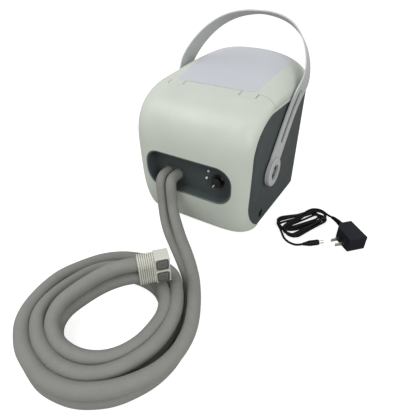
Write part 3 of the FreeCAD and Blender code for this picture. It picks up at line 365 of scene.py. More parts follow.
# Expanded polystyrene, steam moulded: white beads with darker joints between them.
EPS = bead_foam("expanded_polystyrene_beads", "#F1F0EA", "#D9D7CE", 3.0)
# Cross-linked foam pads under the tank, finer cells.
PADS = bead_foam("crosslinked_foam_grey", "#8F918E", "#76797A", 1.2)
print("bead foams ready")

# %% [markdown]
# The remaining finishes are further moulded or extruded plastics. They use the first recipe, each
# with its own colour and gloss, and nearly all with the same fine grain.

# %% Plastics of the coupling, the lid's film and the dial
# Soft PVC sleeve and its ribs, the ribs painted a little paler: a painted highlight on them.
SLEEVE = moulded("satin_pvc_bone", "#C0C0B4", "#B5B5A9", 0.55)
RIB_PAINTED_HIGHLIGHT = moulded("satin_pvc_bone_rib_painted_highlight", "#D6D6CB", "#CDCDC1", 0.45)
# Acetal sockets and latches: smooth and slightly waxy.
SOCKET = moulded("satin_acetal_bone", "#CECEC4", "#C6C6BC", 0.4)
LATCH = moulded("satin_acetal_dark_grey", "#6C6F6C", "#626562", 0.38)
# Dark charcoal ring round each latch, matt: a painted shadow of the gap round the latch.
LATCH_GAP_SHADE = moulded("charcoal_painted_latch_gap_shadow", "#50534F", "#484B47", 0.6)
# The bare film on the lid is polyester, smoother than the lid under it.
FILM = moulded("polyester_film_pale_grey", "#C0C3C9", "#BBBEC5", 0.34,
               grain_deep=0.001, cloud_mm=90.0)
# The dial is polished ABS: the only glossy black on the machine.
DIAL = moulded("polished_abs_black", "#0C0D0E", "#08090A", 0.2, grain_deep=0.002)
# The lip of the recess is painted paler than the tub: a painted highlight along the lip.
RIM_PAINTED_HIGHLIGHT = moulded("satin_abs_slate_rim_painted_highlight", "#5C6664", "#555F5D", 0.45)
# Lamp windows let light through evenly, so they look like milk.
LENS = moulded("diffusing_acrylic_white", "#F4F5F3", "#ECEEEC", 0.25, grain_deep=0.001)
MARK = moulded("pad_printed_white_ink", "#E9EBE9", "#DFE1DF", 0.5, grain_deep=0.001)
print("materials so far", len(bpy.data.materials))

# %% Plastics of the cord and the inside
# Soft PVC of the cord, its boot and its plug: near black, with a dull shine.
CORD = moulded("soft_pvc_black", "#0B0B0D", "#070709", 0.4,
               grain_mm=1.5, grain_deep=0.01, ior=1.4, spec=0.16)
# Rubber of the feet and the lid's gasket: dull, with a deep grain.
RUBBER = moulded("matt_rubber_black", "#202122", "#191A1B", 0.75, grain_deep=0.02)
# The tank is glossy polypropylene, nearly white.
TANK = moulded("gloss_polypropylene_white", "#ECEEEE", "#E4E7E8", 0.28, grain_deep=0.002)
BOARD = moulded("green_glass_epoxy", "#1F6B3C", "#1A5F35", 0.35, grain_mm=0.6)
CHIP = moulded("epoxy_chip_black", "#1B1B1C", "#131314", 0.55)
PUMP = moulded("glass_filled_nylon_black", "#24272A", "#1C1F22", 0.5, grain_deep=0.02)
print("materials in all", len(bpy.data.materials))

# %% [markdown]
# ## Give each CAD piece its finish
# The CAD shapes that are already right stay as they are and only change material. The table names
# the finish of every node, and a node that is missing from it stops the script.

# %% Finish of each CAD node
FINISH = {
    "front_shell": SHELL, "lid_shell": SHELL, "side_panel_left": PANEL,
    "side_panel_right": PANEL, "back_panel": PANEL, "base_plate": PANEL, "feet": RUBBER,
    "recess_tub": TUB, "hose_gland": TUB, "knob": DIAL, "rotary_switch": CHIP,
    "indicator_lamps": LENS, "control_board": BOARD, "board_posts": PANEL,
    "board_components": CHIP, "dc_inlet": BLACK, "dc_inlet_pin": NICKEL, "reservoir": TANK,
    "tank_insulation": EPS, "tank_supports": PADS, "pump_housing": PUMP, "pump_motor": ZINC,
    "impeller": SOCKET, "motor_shaft": ZINC, "pump_bracket": PUMP, "return_pipe": CORD,
    "supply_pipe": CORD, "suction_pipe": CORD, "strainer": TANK, "lid_liner": TANK,
    "lid_insulation": EPS, "lid_gasket": RUBBER, "lid_label": FILM, "handle_strap": STRAP,
    "pivot_boss_left": PANEL, "pivot_boss_right": PANEL, "pivot_screw_left": BLACK,
    "pivot_screw_right": BLACK, "hose_supply": JACKET, "hose_return": JACKET,
    "hose_coil": JACKET, "coupling_sleeve": SLEEVE, "socket_lower": SOCKET,
    "socket_upper": SOCKET, "latch_lower": LATCH, "latch_upper": LATCH,
    "adapter_case": ADAPTER, "adapter_blades": NICKEL, "strain_relief": CORD,
    "cord_hank": CORD, "cord_run": CORD, "plug_cord": CORD, "plug_grip": CORD,
    "plug_barrel": NICKEL,
}
for name, piece in NODES.items():
    piece.data.materials.clear()
    piece.data.materials.append(FINISH[name])
print("dressed", len(NODES), "of", len(FINISH))

# %% [markdown]
# ## The twin hose
# Cold water leaves through one hose and comes back through the other. Both have a foam jacket of
# 19 mm and are joined along their length, so they leave the machine side by side, turn to lie one
# above the other, and make nearly three loose turns on the floor. A hose like this has a smooth
# line without corners, which a quadratic NURBS spline gives from a few control points. The order
# and the end setting are set after the points, because Blender lowers them on an empty spline.

# %% Smooth tube from control points
def tube(name, points, radius, material, sides, steps):
    data = bpy.data.curves.new(name, "CURVE")
    data.dimensions = "3D"
    line = data.splines.new("NURBS")
    line.points.add(len(points) - 1)
    for control, point in zip(line.points, points):
        control.co = (*mm(*point), 1.0)
    line.order_u = 3
    line.use_endpoint_u = True
    line.resolution_u = steps
    data.bevel_depth = radius / 1000.0
    data.bevel_resolution = sides
    data.use_fill_caps = True
    data.materials.append(material)
    made = bpy.data.objects.new(name, data)
    bpy.context.scene.collection.objects.link(made)
    return made


print("tube helper ready")

# %% [markdown]
# A cord has to state its real length. Blender can tell us a cord's real length: with no bevel,
# the curve turns into a mesh of the points that the spline really follows, and we add up the
# steps between them. The view layer is updated before and after, so that nothing reads the
# curve's old size.

# %% Centre line and length of a tube
def centre_line(curve):
    deep, curve.data.bevel_depth = curve.data.bevel_depth, 0.0
    bpy.context.view_layer.update()
    graph = bpy.context.evaluated_depsgraph_get()
    mesh = bpy.data.meshes.new_from_object(curve.evaluated_get(graph))
    points = [v.co.copy() for v in mesh.vertices]
    bpy.data.meshes.remove(mesh)
    curve.data.bevel_depth = deep
    bpy.context.view_layer.update()
    return points


def run_length(points):
    return sum((b - a).length for a, b in zip(points, points[1:]))


print("length helpers ready")

# %% [markdown]
# The route of each hose is drawn like a wiring plan: straight out of the gland, down to
# the floor under its own weight, round the coil three times with each turn a little smaller, then
# up over the first turns to the quick coupling that rests on them. The turns are drawn in plan,
# once for both hoses, because one hose lies on the other.

# %% Turns of the coil in plan
HOSE_RADIUS = 9.4                           # mm
LOW, HIGH = HOSE_RADIUS, 3 * HOSE_RADIUS    # heights of the hose on the floor and of the one on it
COIL_OUTER = [(106, -145), (129, -181), (142, -210), (146, -235), (145, -256), (138, -278),
              (126.5, -296), (112.5, -312.5), (96, -325.5), (79, -335), (60, -340), (36, -342),
              (13, -337), (-10, -330), (-37, -312), (-51, -294), (-59, -270), (-62, -250),
              (-62, -228), (-51, -201), (-37, -176), (-18, -159), (2, -149), (24, -143),
              (50, -141), (73, -147)]
COIL_MIDDLE = [(88, -159), (101, -175), (113, -195), (119, -216), (121, -236), (119, -255),
               (113, -272), (106, -288), (95, -302), (83, -312), (68, -319), (50, -323),
               (34, -323), (12, -319), (-6, -311), (-20, -302), (-33, -289), (-39, -275),
               (-41, -261), (-41, -245), (-38, -226), (-30, -198), (-12, -178), (8, -168),
               (28, -164), (50, -164), (70, -170)]
COIL_INNER = [(84, -181), (96, -196), (102, -213), (103, -232), (102, -250), (97, -266),
              (89, -280), (78, -291), (64, -299), (50, -303), (36, -304), (22, -303)]
print("points of the turns", len(COIL_OUTER), len(COIL_MIDDLE), len(COIL_INNER))

# %% [markdown]
# A coil that nobody tied is never neat. Each turn is widened, shifted and pushed by its own small
# amounts, along the coil's long side and square to it. The twin hose also rolls as it is laid:
# the lower hose starts inside the upper one and slides under it in the first quarter turn, and the
# upper one climbs so that the two always touch.

# %% Loosen the turns and roll the pair
COIL_CENTRE = Vector((42, -240))
COIL_LONG, COIL_BACK = Vector((0.82, 0.57)), Vector((-0.57, 0.82))  # along and square to it
COIL_HALF = 100.0       # from its centre to its far or near side, mm


def loosened(turn, wider, side, far, near):
    """Widen and shift a turn along the long side, and push its far and near end back, mm."""
    out = []
    for spot in turn:
        offset = Vector(spot) - COIL_CENTRE
        along, back = offset.dot(COIL_LONG), offset.dot(COIL_BACK)
        push = (far + near) / 2 + (far - near) / 2 * back / COIL_HALF
        out.append(COIL_CENTRE + COIL_LONG * (along * wider + side) + COIL_BACK * (back + push))
    return out


def turned_pair(turns, inward):
    """Control points of the lower and the upper hose; inward is how far apart they lie in plan."""
    low, high = [], []
    for i, spot in enumerate(turns):
        aside = inward[i] if i < len(inward) else 0.0
        low.append((*(spot + (COIL_CENTRE - spot).normalized() * aside), LOW))
        high.append((*spot, LOW + math.sqrt((HIGH - LOW) ** 2 - aside ** 2)))
    return low, high


TURNS = (loosened(COIL_OUTER, 1.03, 0.0, 6.5, 1.0) + loosened(COIL_MIDDLE, 1.02, -1.5, 6.5, 0.5)
         + loosened(COIL_INNER, 1.03, -1.0, 4.0, -1.5))
LOW_TURNS, HIGH_TURNS = turned_pair(TURNS, (8, 7.5, 7, 7, 6, 4, 2))
print("control points in the turns", len(TURNS))

# %% Drops from the gland and rise to the coupling
SUPPLY_DROP = [(-31.4, 23, 87), (-31.4, 6, 88.5), (-27, -8, 84), (-21.5, -14, 65),
               (-16.5, -20, 46), (-5, -31, 34.5), (14, -49, 29.5), (37, -71, HIGH),
               (62, -93, HIGH), (86, -117, HIGH)]
RETURN_DROP = [(-52.6, 23, 87), (-52.6, 6, 87.5), (-48.5, -8, 81), (-42, -14, 62),
               (-37.5, -20, 44), (-27, -31, 25), (-8, -48, 13), (23, -71.5, LOW),
               (54, -96, LOW), (83, -120.5, LOW)]
RISE = [(6, -299), (-8, -291), (-16, -279), (-17, -266), (-12, -254), (-5, -243), (4, -230),
        (16, -216), (30, -203), (42, -193), (50, -185)]
SUPPLY_HEIGHTS = [29, 31, 35, 41, 47, 53, 60, 68, 74, 76, 76]
RETURN_HEIGHTS = [10, 12, 15, 20, 26, 32, 39, 46.5, 52, 54, 54]
SUPPLY = SUPPLY_DROP + HIGH_TURNS + [(x, y, z) for (x, y), z in zip(RISE, SUPPLY_HEIGHTS)]
RETURN = RETURN_DROP + LOW_TURNS + [(x, y, z) for (x, y), z in zip(RISE, RETURN_HEIGHTS)]
print("hose control points", len(SUPPLY), len(RETURN))

# %% Make both hoses
supply_hose = tube("supply_hose", SUPPLY, HOSE_RADIUS, JACKET, sides=8, steps=5)
return_hose = tube("return_hose", RETURN, HOSE_RADIUS, JACKET, sides=8, steps=5)
HOSE_LONG = {hose.name: run_length(centre_line(hose)) for hose in (supply_hose, return_hose)}
print("hose lengths", HOSE_LONG)
for hose, runs, start in ((supply_hose, ("hose_supply", "hose_coil"), SUPPLY_DROP[0]),
                          (return_hose, ("hose_return",), RETURN_DROP[0])):
    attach(hose, "housing")
    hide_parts(*runs)

# %% [markdown]
# ## The power cord
# A thin black PVC cord runs from the adapter to the barrel plug. Most of it is folded into a hank:
# long narrow loops, each a little different, which cross as loose loops do. A loop is two straight
# runs joined by two half circles, and its size, centre and turn change from loop to loop. So a few
# numbers describe the whole hank, and it is drawn as one spline from the adapter to the plug.

# %% Loops of the hank
HANK_AT, HANK_TURN = (187.0, 110.0), math.radians(68.0)
PER_LOOP = 24       # control points in one loop
# half length, half width, shift along, shift across, turn in degrees, height: one row per loop
LOOPS = [(53, 20, 1, -5, 3, 10.0), (51, 13, -1, -4, -4, 9.6), (54, 15.5, 0, -5, 6, 8.2),
         (48, 13, -3, -10.5, -2, 6.4), (47, 13, -3, 1, -9, 5.6), (45, 13, -2, 9, -17, 5.0),
         (44, 13, 1, 12, -12, 4.4), (46, 21, 3, 5, -16, 2.2), (43, 16, 4, 12, -26, 2.0)]


def on_loop(long, wide, part):
    """A place on a loop of two straights and two half circles; part runs from 0 to 1 round it."""
    straight, bend = 2 * (long - wide), math.pi * wide
    far = (part * 2 * (straight + bend) + bend / 2) % (2 * (straight + bend))
    side = 1 if far < straight + bend else -1
    far %= straight + bend
    if far < bend:
        a = far / wide - math.pi / 2
        return side * (long - wide + wide * math.cos(a)), side * wide * math.sin(a)
    return side * (long - wide - (far - bend)), side * wide


def turned(u, v, angle):
    return (u * math.cos(angle) - v * math.sin(angle), u * math.sin(angle) + v * math.cos(angle))


def hank_points():
    points = []
    for i in range(len(LOOPS) * PER_LOOP - PER_LOOP // 2 + 1):
        k, part = i // PER_LOOP, (i % PER_LOOP) / PER_LOOP
        following = LOOPS[min(k + 1, len(LOOPS) - 1)]
        long, wide, du, dv, turn, z = (a + (b - a) * part for a, b in zip(LOOPS[k], following))
        u, v = turned(*on_loop(long, wide, part), math.radians(turn))
        x, y = turned(u + du, v + dv, HANK_TURN)
        points.append((HANK_AT[0] + x, HANK_AT[1] + y, z))
    return points


print("loops in the hank", len(LOOPS) - 0.5)

# %% Make the power cord
CORD_RADIUS = 2.0   # mm
CORD_START = [(245.0, 135.6, 12.0), (237.5, 142.2, 11.6), (229.0, 146.4, 11.2),
              (221.5, 149.0, 10.8)]
CORD_END = [(158, 71, 2.2), (163.5, 63.5, 2.2), (169.3, 54.5, 2.2), (177.5, 47.5, 2.2),
            (187.5, 44.3, 2.4), (197, 44.2, 3.4), (203, 47.4, 4.8), (206.5, 50.5, 5.0),
            (208.0, 51.8, 5.0)]
power_cord = tube("power_cord", CORD_START + hank_points() + CORD_END, CORD_RADIUS, CORD,
                  sides=4, steps=4)
CORD_LINE = centre_line(power_cord)
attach(power_cord, "housing")
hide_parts("cord_hank", "cord_run", "plug_cord")

# %% [markdown]
# ## What repeats: small details from node trees
# Ribs, ridges, rings and screws repeat, so each is drawn once and copied by a geometry node tree.
# Every tree gets its sizes through named inputs. The result is turned into a plain mesh, because
# the exporter drops live instances. The trees start from a carrier: a mesh that holds only the
# points, or the line, on which the copies sit.

# %% Start and end of a geometry tree
def new_tree(name, sizes):
    tree = bpy.data.node_groups.new(name, "GeometryNodeTree")
    tree.interface.new_socket("Geometry", in_out="INPUT", socket_type="NodeSocketGeometry")
    for label, kind in sizes.items():
        tree.interface.new_socket(label, in_out="INPUT", socket_type="NodeSocket" + kind)
    tree.interface.new_socket("Geometry", in_out="OUTPUT", socket_type="NodeSocketGeometry")
    return tree, tree.nodes.new("NodeGroupInput").outputs


def end_tree(tree, given, *pieces):
    joined = add(tree, "GeometryNodeJoinGeometry")
    for piece in pieces:
        tree.links.new(piece.outputs[0], joined.inputs[0])
    real = add(tree, "GeometryNodeRealizeInstances", {0: joined.outputs[0]})
    dressed = add(tree, "GeometryNodeSetMaterial",
                  {"Geometry": real.outputs[0], "Material": given["Material"]})
    tree.links.new(dressed.outputs[0], tree.nodes.new("NodeGroupOutput").inputs[0])
    return tree


print("tree helpers ready")

# %% Carrier, and growing a tree on it
def carrier(points, line=False, ring=False):
    edges = [(i, i + 1) for i in range(len(points) - 1)] if line or ring else []
    if ring:
        edges.append((len(points) - 1, 0))
    mesh = bpy.data.meshes.new("carrier")
    mesh.from_pydata([tuple(p) for p in points], edges, [])
    made = bpy.data.objects.new("carrier", mesh)
    bpy.context.scene.collection.objects.link(made)
    return made


def grow(name, tree, holder, sizes, body, smooth=35.0):
    """Run the tree on its carrier, keep the result as a plain mesh and let it ride on a body."""
    modifier = holder.modifiers.new(tree.name, "NODES")
    modifier.node_group = tree
    for item in tree.interface.items_tree:
        if item.in_out == "INPUT" and item.name in sizes:
            modifier[item.identifier] = sizes[item.name]
    bpy.context.view_layer.update()
    graph = bpy.context.evaluated_depsgraph_get()
    mesh = bpy.data.meshes.new_from_object(holder.evaluated_get(graph), depsgraph=graph)
    bpy.data.objects.remove(holder)
    made = bpy.data.objects.new(name, mesh)
    bpy.context.scene.collection.objects.link(made)
    mesh.shade_smooth()
    mesh.set_sharp_from_angle(angle=math.radians(smooth))
    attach(made, body)
    print(name, "faces", len(mesh.polygons))


print("carrier helpers ready")

# %% [markdown]
# A bead is the simplest tree: a line becomes a curve and a circle is swept along it. It draws the
# rolled lip of the recess. The front is curved both ways, so the lip's line is found by looking
# straight at the tub from the front and keeping the depth where each line of sight meets it.

# %% Tree: a round bead along a line
def bead_tree():
    tree, given = new_tree("bead_along_line", {"Bead Radius": "Float", "Material": "Material"})
    line = add(tree, "GeometryNodeMeshToCurve", {0: given["Geometry"]})
    section = add(tree, "GeometryNodeCurvePrimitiveCircle",
                  {"Resolution": 10, "Radius": given["Bead Radius"]})
    swept = add(tree, "GeometryNodeCurveToMesh",
                {"Curve": line.outputs[0], "Profile Curve": section.outputs[0]})
    return end_tree(tree, given, swept)


BEAD = bead_tree()
print("bead tree ready")

# %% Lip of the recess
TUB_MOUTH = (85.2, 66.2, 133.6, 27.8)   # half width, lowest, highest and corner radius, mm
LIP_INSET = Vector((0, 0.0004, 0))      # the bead sinks this far into the tub, m


def rounded_ring(half_u, low, high, corner, steps=8, run=9):
    """Points round a rounded rectangle, counted from its lower right corner."""
    in_u, in_low, in_high = half_u - corner, low + corner, high - corner
    # each corner's centre, its first angle and where the straight run after it ends
    corners = ((in_u, in_low, -90, (half_u, in_high)), (in_u, in_high, 0, (-in_u, high)),
               (-in_u, in_high, 90, (-half_u, in_low)), (-in_u, in_low, 180, (in_u, low)))
    points = []
    for centre_u, centre_v, start, (next_u, next_v) in corners:
        for i in range(steps + 1):
            a = math.radians(start + 90.0 * i / steps)
            points.append((centre_u + corner * math.cos(a), centre_v + corner * math.sin(a)))
        u, v = points[-1]
        points += [(u + (next_u - u) * k / run, v + (next_v - v) * k / run)
                   for k in range(1, run)]
    return points


tub_mesh = NODES["recess_tub"].data
tub_faces = BVHTree.FromPolygons([v.co for v in tub_mesh.vertices],
                                 [p.vertices for p in tub_mesh.polygons])
lip = [tub_faces.ray_cast(mm(x, -40, z), Vector((0, 1, 0)))[0] + LIP_INSET
       for x, z in rounded_ring(*TUB_MOUTH)]
# The lip bead takes the paler colour: a painted highlight along the rim of the recess.
grow("recess_lip", BEAD, carrier(lip, ring=True), {"Bead Radius": 0.0011, "Material": RIM_PAINTED_HIGHLIGHT},
     "housing")

# %% [markdown]
# The sleeve that holds the two hoses together is a ribbed PVC moulding. Each rib is a closed loop
# round both hoses. The tree sweeps one loop and repeats it along the sleeve, so that the grooves
# between the ribs are deep enough to hold a shadow.

# %% Tree: one closed loop repeated in equal steps
def stacked_tree():
    tree, given = new_tree("stacked_loops", {"Count": "Int", "Step": "Vector",
                                             "Bead Radius": "Float", "Material": "Material"})
    line = add(tree, "GeometryNodeMeshToCurve", {0: given["Geometry"]})
    section = add(tree, "GeometryNodeCurvePrimitiveCircle",
                  {"Resolution": 8, "Radius": given["Bead Radius"]})
    swept = add(tree, "GeometryNodeCurveToMesh",
                {"Curve": line.outputs[0], "Profile Curve": section.outputs[0]})
    steps = add(tree, "GeometryNodeMeshLine", {"Count": given["Count"], "Offset": given["Step"]})
    copies = add(tree, "GeometryNodeInstanceOnPoints",
                 {"Points": steps.outputs[0], "Instance": swept.outputs[0]})
    return end_tree(tree, given, copies)


STACK = stacked_tree()
print("stack tree ready")

# %% Ribs of the sleeve
COUPLING_TURN = math.radians(47.0)
COUPLING_AT = (48, -187, 65.05)
COUPLING_AXIS = Vector((math.cos(COUPLING_TURN), math.sin(COUPLING_TURN), 0))
COUPLING_SIDE = Vector((math.sin(COUPLING_TURN), -math.cos(COUPLING_TURN), 0))
HOSE_PITCH = 22.0       # between the centres of the two hoses in the coupling, mm


def on_coupling(along, up, out):
    """A point of the twin coupling: along its axis, up from its middle, out of its latch side."""
    step = COUPLING_AXIS * along + Vector((0, 0, up)) + COUPLING_SIDE * out
    return mm(*COUPLING_AT) + step / 1000.0


def twin_loop(radius, steps=12):
    """Outline round both hoses: two half circles with straight flanks."""
    points = []
    for sign, first in ((1, 0), (-1, 180)):
        for i in range(steps + 1):
            a = math.radians(first + 180.0 * i / steps)
            points.append((sign * HOSE_PITCH / 2 + radius * math.sin(a), radius * math.cos(a)))
    return points


# The ribs wear the paler colour: a painted highlight on them.
rib = [on_coupling(1.3, up, out) for up, out in twin_loop(12.2)]
grow("sleeve_ribs", STACK, carrier(rib, ring=True),
     {"Count": 8, "Step": COUPLING_AXIS * 0.0027, "Bead Radius": 0.00085, "Material": RIB_PAINTED_HIGHLIGHT},
     "housing")

# %% [markdown]
# A dark charcoal ring round each latch is a painted shadow of the gap round it, and the latch
# itself has four ridges across. The ridges ride on their own latch and move with it. A bar starts
# at its point and runs along the given direction, so the points lie at the ridges' upper ends.

# %% Tree: bars on points
def bar_tree():
    tree, given = new_tree("bars_on_points", {
        "Bar Radius": "Float", "Tip Radius": "Float", "Bar Length": "Float", "Along": "Vector",
        "Material": "Material"})
    bar = add(tree, "GeometryNodeMeshCone", {
        "Vertices": 12, "Radius Top": given["Tip Radius"], "Radius Bottom": given["Bar Radius"],
        "Depth": given["Bar Length"]})
    facing = add(tree, "FunctionNodeAlignRotationToVector", {"Vector": given["Along"]}, axis="Z")
    copies = add(tree, "GeometryNodeInstanceOnPoints", {
        "Points": given["Geometry"], "Instance": bar.outputs["Mesh"],
        "Rotation": facing.outputs[0]})
    return end_tree(tree, given, copies)


BARS = bar_tree()
print("bar tree ready")

# %% Painted gap shadows and ridges of the latches
RIDGE = {"Bar Radius": 0.0005, "Tip Radius": 0.0005, "Bar Length": 0.0092,
         "Along": Vector((0, 0, -1)), "Material": LATCH}
HALF_RIDGE = 4.6        # mm
for side, sign in (("lower", -1), ("upper", 1)):
    middle = sign * HOSE_PITCH / 2
    # A dark ring round each latch: a painted shadow of the gap round it.
    gap_shadow = [on_coupling(32.0 + v, middle + u, 10.6)
             for u, v in rounded_ring(7.7, -7.2, 7.2, 2.5, steps=4, run=4)]
    grow("latch_gap_shadow_" + side, BEAD, carrier(gap_shadow, ring=True),
         {"Bead Radius": 0.0012, "Material": LATCH_GAP_SHADE}, "housing")
    tops = [on_coupling(28.4 + 2.4 * k, middle + HALF_RIDGE, 11.65) for k in range(4)]
    grow("latch_ridges_" + side, BARS, carrier(tops), RIDGE, "latch_" + side)

# %% [markdown]
# The dial is small and turned with two fingers, so its grip has fine flutes. They leave out the
# nose of the dial, where the pointer sits.

# %% Flutes of the dial
DIAL_AT, DIAL_POINTS = (49.5, 95.0), math.radians(238.0)
FLUTES, FLUTE_SPAN, NOSE_HALF = 26, 310.0, 25.0     # how many, and over which angles in degrees
FLUTE_RADIUS, FLUTE_FRONT = 9.0, 20.3               # mm


def from_dial(radius, angle=DIAL_POINTS):
    return (DIAL_AT[0] + radius * math.cos(angle), DIAL_AT[1] + radius * math.sin(angle))


flutes = []
for k in range(FLUTES):
    angle = DIAL_POINTS + math.radians(NOSE_HALF + FLUTE_SPAN * k / (FLUTES - 1))
    x, z = from_dial(FLUTE_RADIUS, angle)
    flutes.append(mm(x, FLUTE_FRONT, z))
grow("dial_flutes", BARS, carrier(flutes),
     {"Bar Radius": 0.0005, "Tip Radius": 0.0005, "Bar Length": 0.0048,
      "Along": Vector((0, 1, 0)), "Material": DIAL}, "knob")

# %% [markdown]
# A white line on the nose shows where the dial points. Paint that thin would flicker against the
# face under it, so it is a real bar, a third of a millimetre thick. It is one closed outline drawn
# at two depths, with bmesh making the two faces and the rim between them.

# %% Pointer line
def flat_bar(name, start, end, half, front, back):
    """A thin bar with round ends between two depths, on a face that looks along -Y."""
    (x0, z0), (x1, z1) = start, end
    way = math.atan2(z1 - z0, x1 - x0)
    outline = []
    for (cx, cz), first in (((x1, z1), -90), ((x0, z0), 90)):
        for i in range(9):
            a = way + math.radians(first + 180.0 * i / 8)
            outline.append((cx + half * math.cos(a), cz + half * math.sin(a)))
    shape = bmesh.new()
    near = [shape.verts.new(mm(x, front, z)) for x, z in outline]
    far = [shape.verts.new(mm(x, back, z)) for x, z in outline]
    shape.faces.new(near)
    shape.faces.new(list(reversed(far)))
    for i in range(len(near)):
        j = (i + 1) % len(near)
        shape.faces.new((near[i], far[i], far[j], near[j]))
    bmesh.ops.recalc_face_normals(shape, faces=shape.faces)
    mesh = bpy.data.meshes.new(name)
    shape.to_mesh(mesh)
    shape.free()
    made = bpy.data.objects.new(name, mesh)
    bpy.context.scene.collection.objects.link(made)
    return made


pointer = flat_bar("dial_pointer_line", from_dial(5.6), from_dial(10.6), 0.8, 17.05, 17.4)
pointer.data.materials.append(MARK)
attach(pointer, "knob")
print("pointer faces", len(pointer.data.polygons))

# %% [markdown]
# Each lamp beside the dial sits in a small dark bezel. It is the same bead as the lip of the
# recess, on a circle.

# %% Bezels of the lamps
LAMPS = ((31.2, 110.0), (27.5, 95.5))
BEZEL_RADIUS, BEZEL_Y = 3.0, 25.9       # mm
for number, (x, z) in enumerate(LAMPS, start=1):
    circle = [mm(x + BEZEL_RADIUS * math.cos(math.radians(15 * k)), BEZEL_Y,
                 z + BEZEL_RADIUS * math.sin(math.radians(15 * k))) for k in range(24)]
    grow("lamp_bezel_%d" % number, BEAD, carrier(circle, ring=True),
         {"Bead Radius": 0.0005, "Material": BLACK}, "housing")

# %% [markdown]
# The cord leaves the adapter through a long ribbed boot that spreads the bend. It follows the
# first stretch of the cord's own line. The tree sweeps a tapering core and puts rings on it that
# shrink in the same way. Inside the tree, all sizes are parts of the boot's radius at that place.

# %% Tree: tapering boot with rings
CORE, RING_WIRE = 0.9, 0.16


def boot_tree():
    tree, given = new_tree("tapering_boot", {"Rings": "Int", "Start Radius": "Float",
                                             "End Radius": "Float", "Material": "Material"})
    line = add(tree, "GeometryNodeMeshToCurve", {0: given["Geometry"]})
    along = add(tree, "GeometryNodeSplineParameter")
    taper = add(tree, "ShaderNodeMapRange", {
        "Value": along.outputs["Factor"], "To Min": given["Start Radius"],
        "To Max": given["End Radius"]})
    section = add(tree, "GeometryNodeCurvePrimitiveCircle", {"Resolution": 16, "Radius": CORE})
    core = add(tree, "GeometryNodeCurveToMesh", {
        "Curve": line.outputs[0], "Profile Curve": section.outputs[0],
        "Scale": taper.outputs[0], "Fill Caps": True})
    places = add(tree, "GeometryNodeCurveToPoints",
                 {"Curve": line.outputs[0], "Count": given["Rings"]}, mode="COUNT")
    hoop = add(tree, "GeometryNodeCurvePrimitiveCircle", {"Resolution": 20, "Radius": CORE})
    wire = add(tree, "GeometryNodeCurvePrimitiveCircle", {"Resolution": 8, "Radius": RING_WIRE})
    ring = add(tree, "GeometryNodeCurveToMesh",
               {"Curve": hoop.outputs[0], "Profile Curve": wire.outputs[0]})
    number = add(tree, "GeometryNodeInputIndex")
    size = add(tree, "ShaderNodeMapRange", {
        "Value": number.outputs[0], "From Max": given["Rings"],
        "To Min": given["Start Radius"], "To Max": given["End Radius"]})
    copies = add(tree, "GeometryNodeInstanceOnPoints", {
        "Points": places.outputs["Points"], "Instance": ring.outputs[0],
        "Rotation": places.outputs["Rotation"], "Scale": size.outputs[0]})
    return end_tree(tree, given, core, copies)


BOOT = boot_tree()
print("boot tree ready")

# %% Boot of the cord
BOOT_AT, IN_CASE = mm(256.8, 124.2, 12.0), 6    # its wide end, and the points up to the cord
ON_CORD = 0.019                                 # how far it follows the cord, m
boot_line = [BOOT_AT.lerp(CORD_LINE[0], k / IN_CASE) for k in range(IN_CASE)]
reach = 0.0
for a, b in zip(CORD_LINE, CORD_LINE[1:]):
    boot_line.append(a)
    reach += (b - a).length
    if reach > ON_CORD:
        break
grow("relief_boot", BOOT, carrier(boot_line, line=True),
     {"Rings": 13, "Start Radius": 0.0053, "End Radius": 0.0029, "Material": CORD},
     "housing")

# %% [markdown]
# Screws hold the handle and the base. A pan head is a low cone with a second, flatter one on top,
# and a cross is cut out of it with two small boxes. Inside the tree, all sizes are parts of the
# head's radius.

# %% Tree: pan head screws on points
RIM_HIGH, CROWN_HIGH = 0.22, 0.16
CROSS_LONG, CROSS_WIDE, CROSS_DEEP = 0.95, 0.2, 0.5


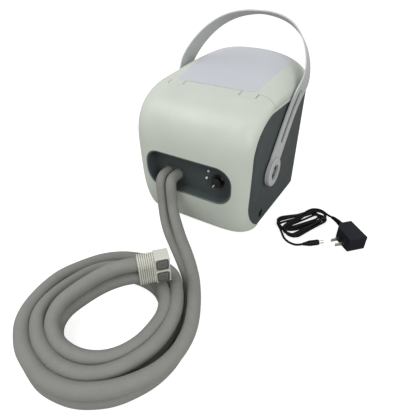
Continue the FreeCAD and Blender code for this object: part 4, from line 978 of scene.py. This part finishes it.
def screw_tree():
    tree, given = new_tree("pan_heads_on_points", {"Head Radius": "Float", "Facing": "Vector",
                                                   "Material": "Material"})
    rim = add(tree, "GeometryNodeMeshCone", {
        "Vertices": 24, "Radius Top": 0.92, "Radius Bottom": 1.0, "Depth": RIM_HIGH})
    crown = add(tree, "GeometryNodeMeshCone", {
        "Vertices": 24, "Radius Top": 0.55, "Radius Bottom": 0.92, "Depth": CROWN_HIGH})
    lifted = add(tree, "GeometryNodeTransform",
                 {"Geometry": crown.outputs["Mesh"], "Translation": (0, 0, RIM_HIGH)})
    head = add(tree, "GeometryNodeMeshBoolean", operation="UNION")
    tree.links.new(rim.outputs["Mesh"], head.inputs["Mesh 2"])
    tree.links.new(lifted.outputs[0], head.inputs["Mesh 2"])
    cross = add(tree, "GeometryNodeJoinGeometry")
    for size in ((CROSS_LONG, CROSS_WIDE, CROSS_DEEP), (CROSS_WIDE, CROSS_LONG, CROSS_DEEP)):
        slot = add(tree, "GeometryNodeMeshCube", {"Size": size})
        tree.links.new(slot.outputs["Mesh"], cross.inputs[0])
    raised = add(tree, "GeometryNodeTransform",
                 {"Geometry": cross.outputs[0], "Translation": (0, 0, 0.4)})
    slotted = add(tree, "GeometryNodeMeshBoolean",
                  {"Mesh 1": head.outputs[0], "Mesh 2": raised.outputs[0]},
                  operation="DIFFERENCE")
    facing = add(tree, "FunctionNodeAlignRotationToVector", {"Vector": given["Facing"]}, axis="Z")
    copies = add(tree, "GeometryNodeInstanceOnPoints", {
        "Points": given["Geometry"], "Instance": slotted.outputs[0],
        "Rotation": facing.outputs[0], "Scale": given["Head Radius"]})
    return end_tree(tree, given, copies)


SCREWS = screw_tree()
print("screw tree ready")

# %% Screws of the handle and the base
HEAD_EDGE = 30.0        # edges sharper than this stay sharp, degrees
for side, sign in (("left", -1), ("right", 1)):
    grow("pivot_fastener_" + side, SCREWS, carrier([mm(sign * 120.7, 96.8, 100.1)]),
         {"Head Radius": 0.0052, "Facing": Vector((sign, 0, 0)), "Material": ZINC},
         "housing", HEAD_EDGE)
under = [mm(x, y, 4.2) for x in (-62, 0, 62) for y in (60, 214)]
grow("base_fasteners", SCREWS, carrier(under),
     {"Head Radius": 0.0034, "Facing": Vector((0, 0, -1)), "Material": ZINC},
     "housing", HEAD_EDGE)

# %% [markdown]
# Inside, each leg of a component ends in a small tin cone on the front of the board: two rows for
# the chip, one row for the connector and two pairs for the larger parts.

# %% Solder joints
BOARD_FRONT = 39.8      # mm
legs = [(22.0 + 2.2 * i, z) for i in range(6) for z in (82.0, 97.0)]
legs += [(25.5 + 3.4 * i, 118.5) for i in range(6)]
legs += [(65.5 + 3.0 * i, z) for i in (0, 1) for z in (88, 104)]
grow("solder_joints", BARS, carrier([mm(x, BOARD_FRONT, z) for x, z in legs]),
     {"Bar Radius": 0.0008, "Tip Radius": 0.0003, "Bar Length": 0.0009,
      "Along": Vector((0, -1, 0)), "Material": SOLDER}, "housing")
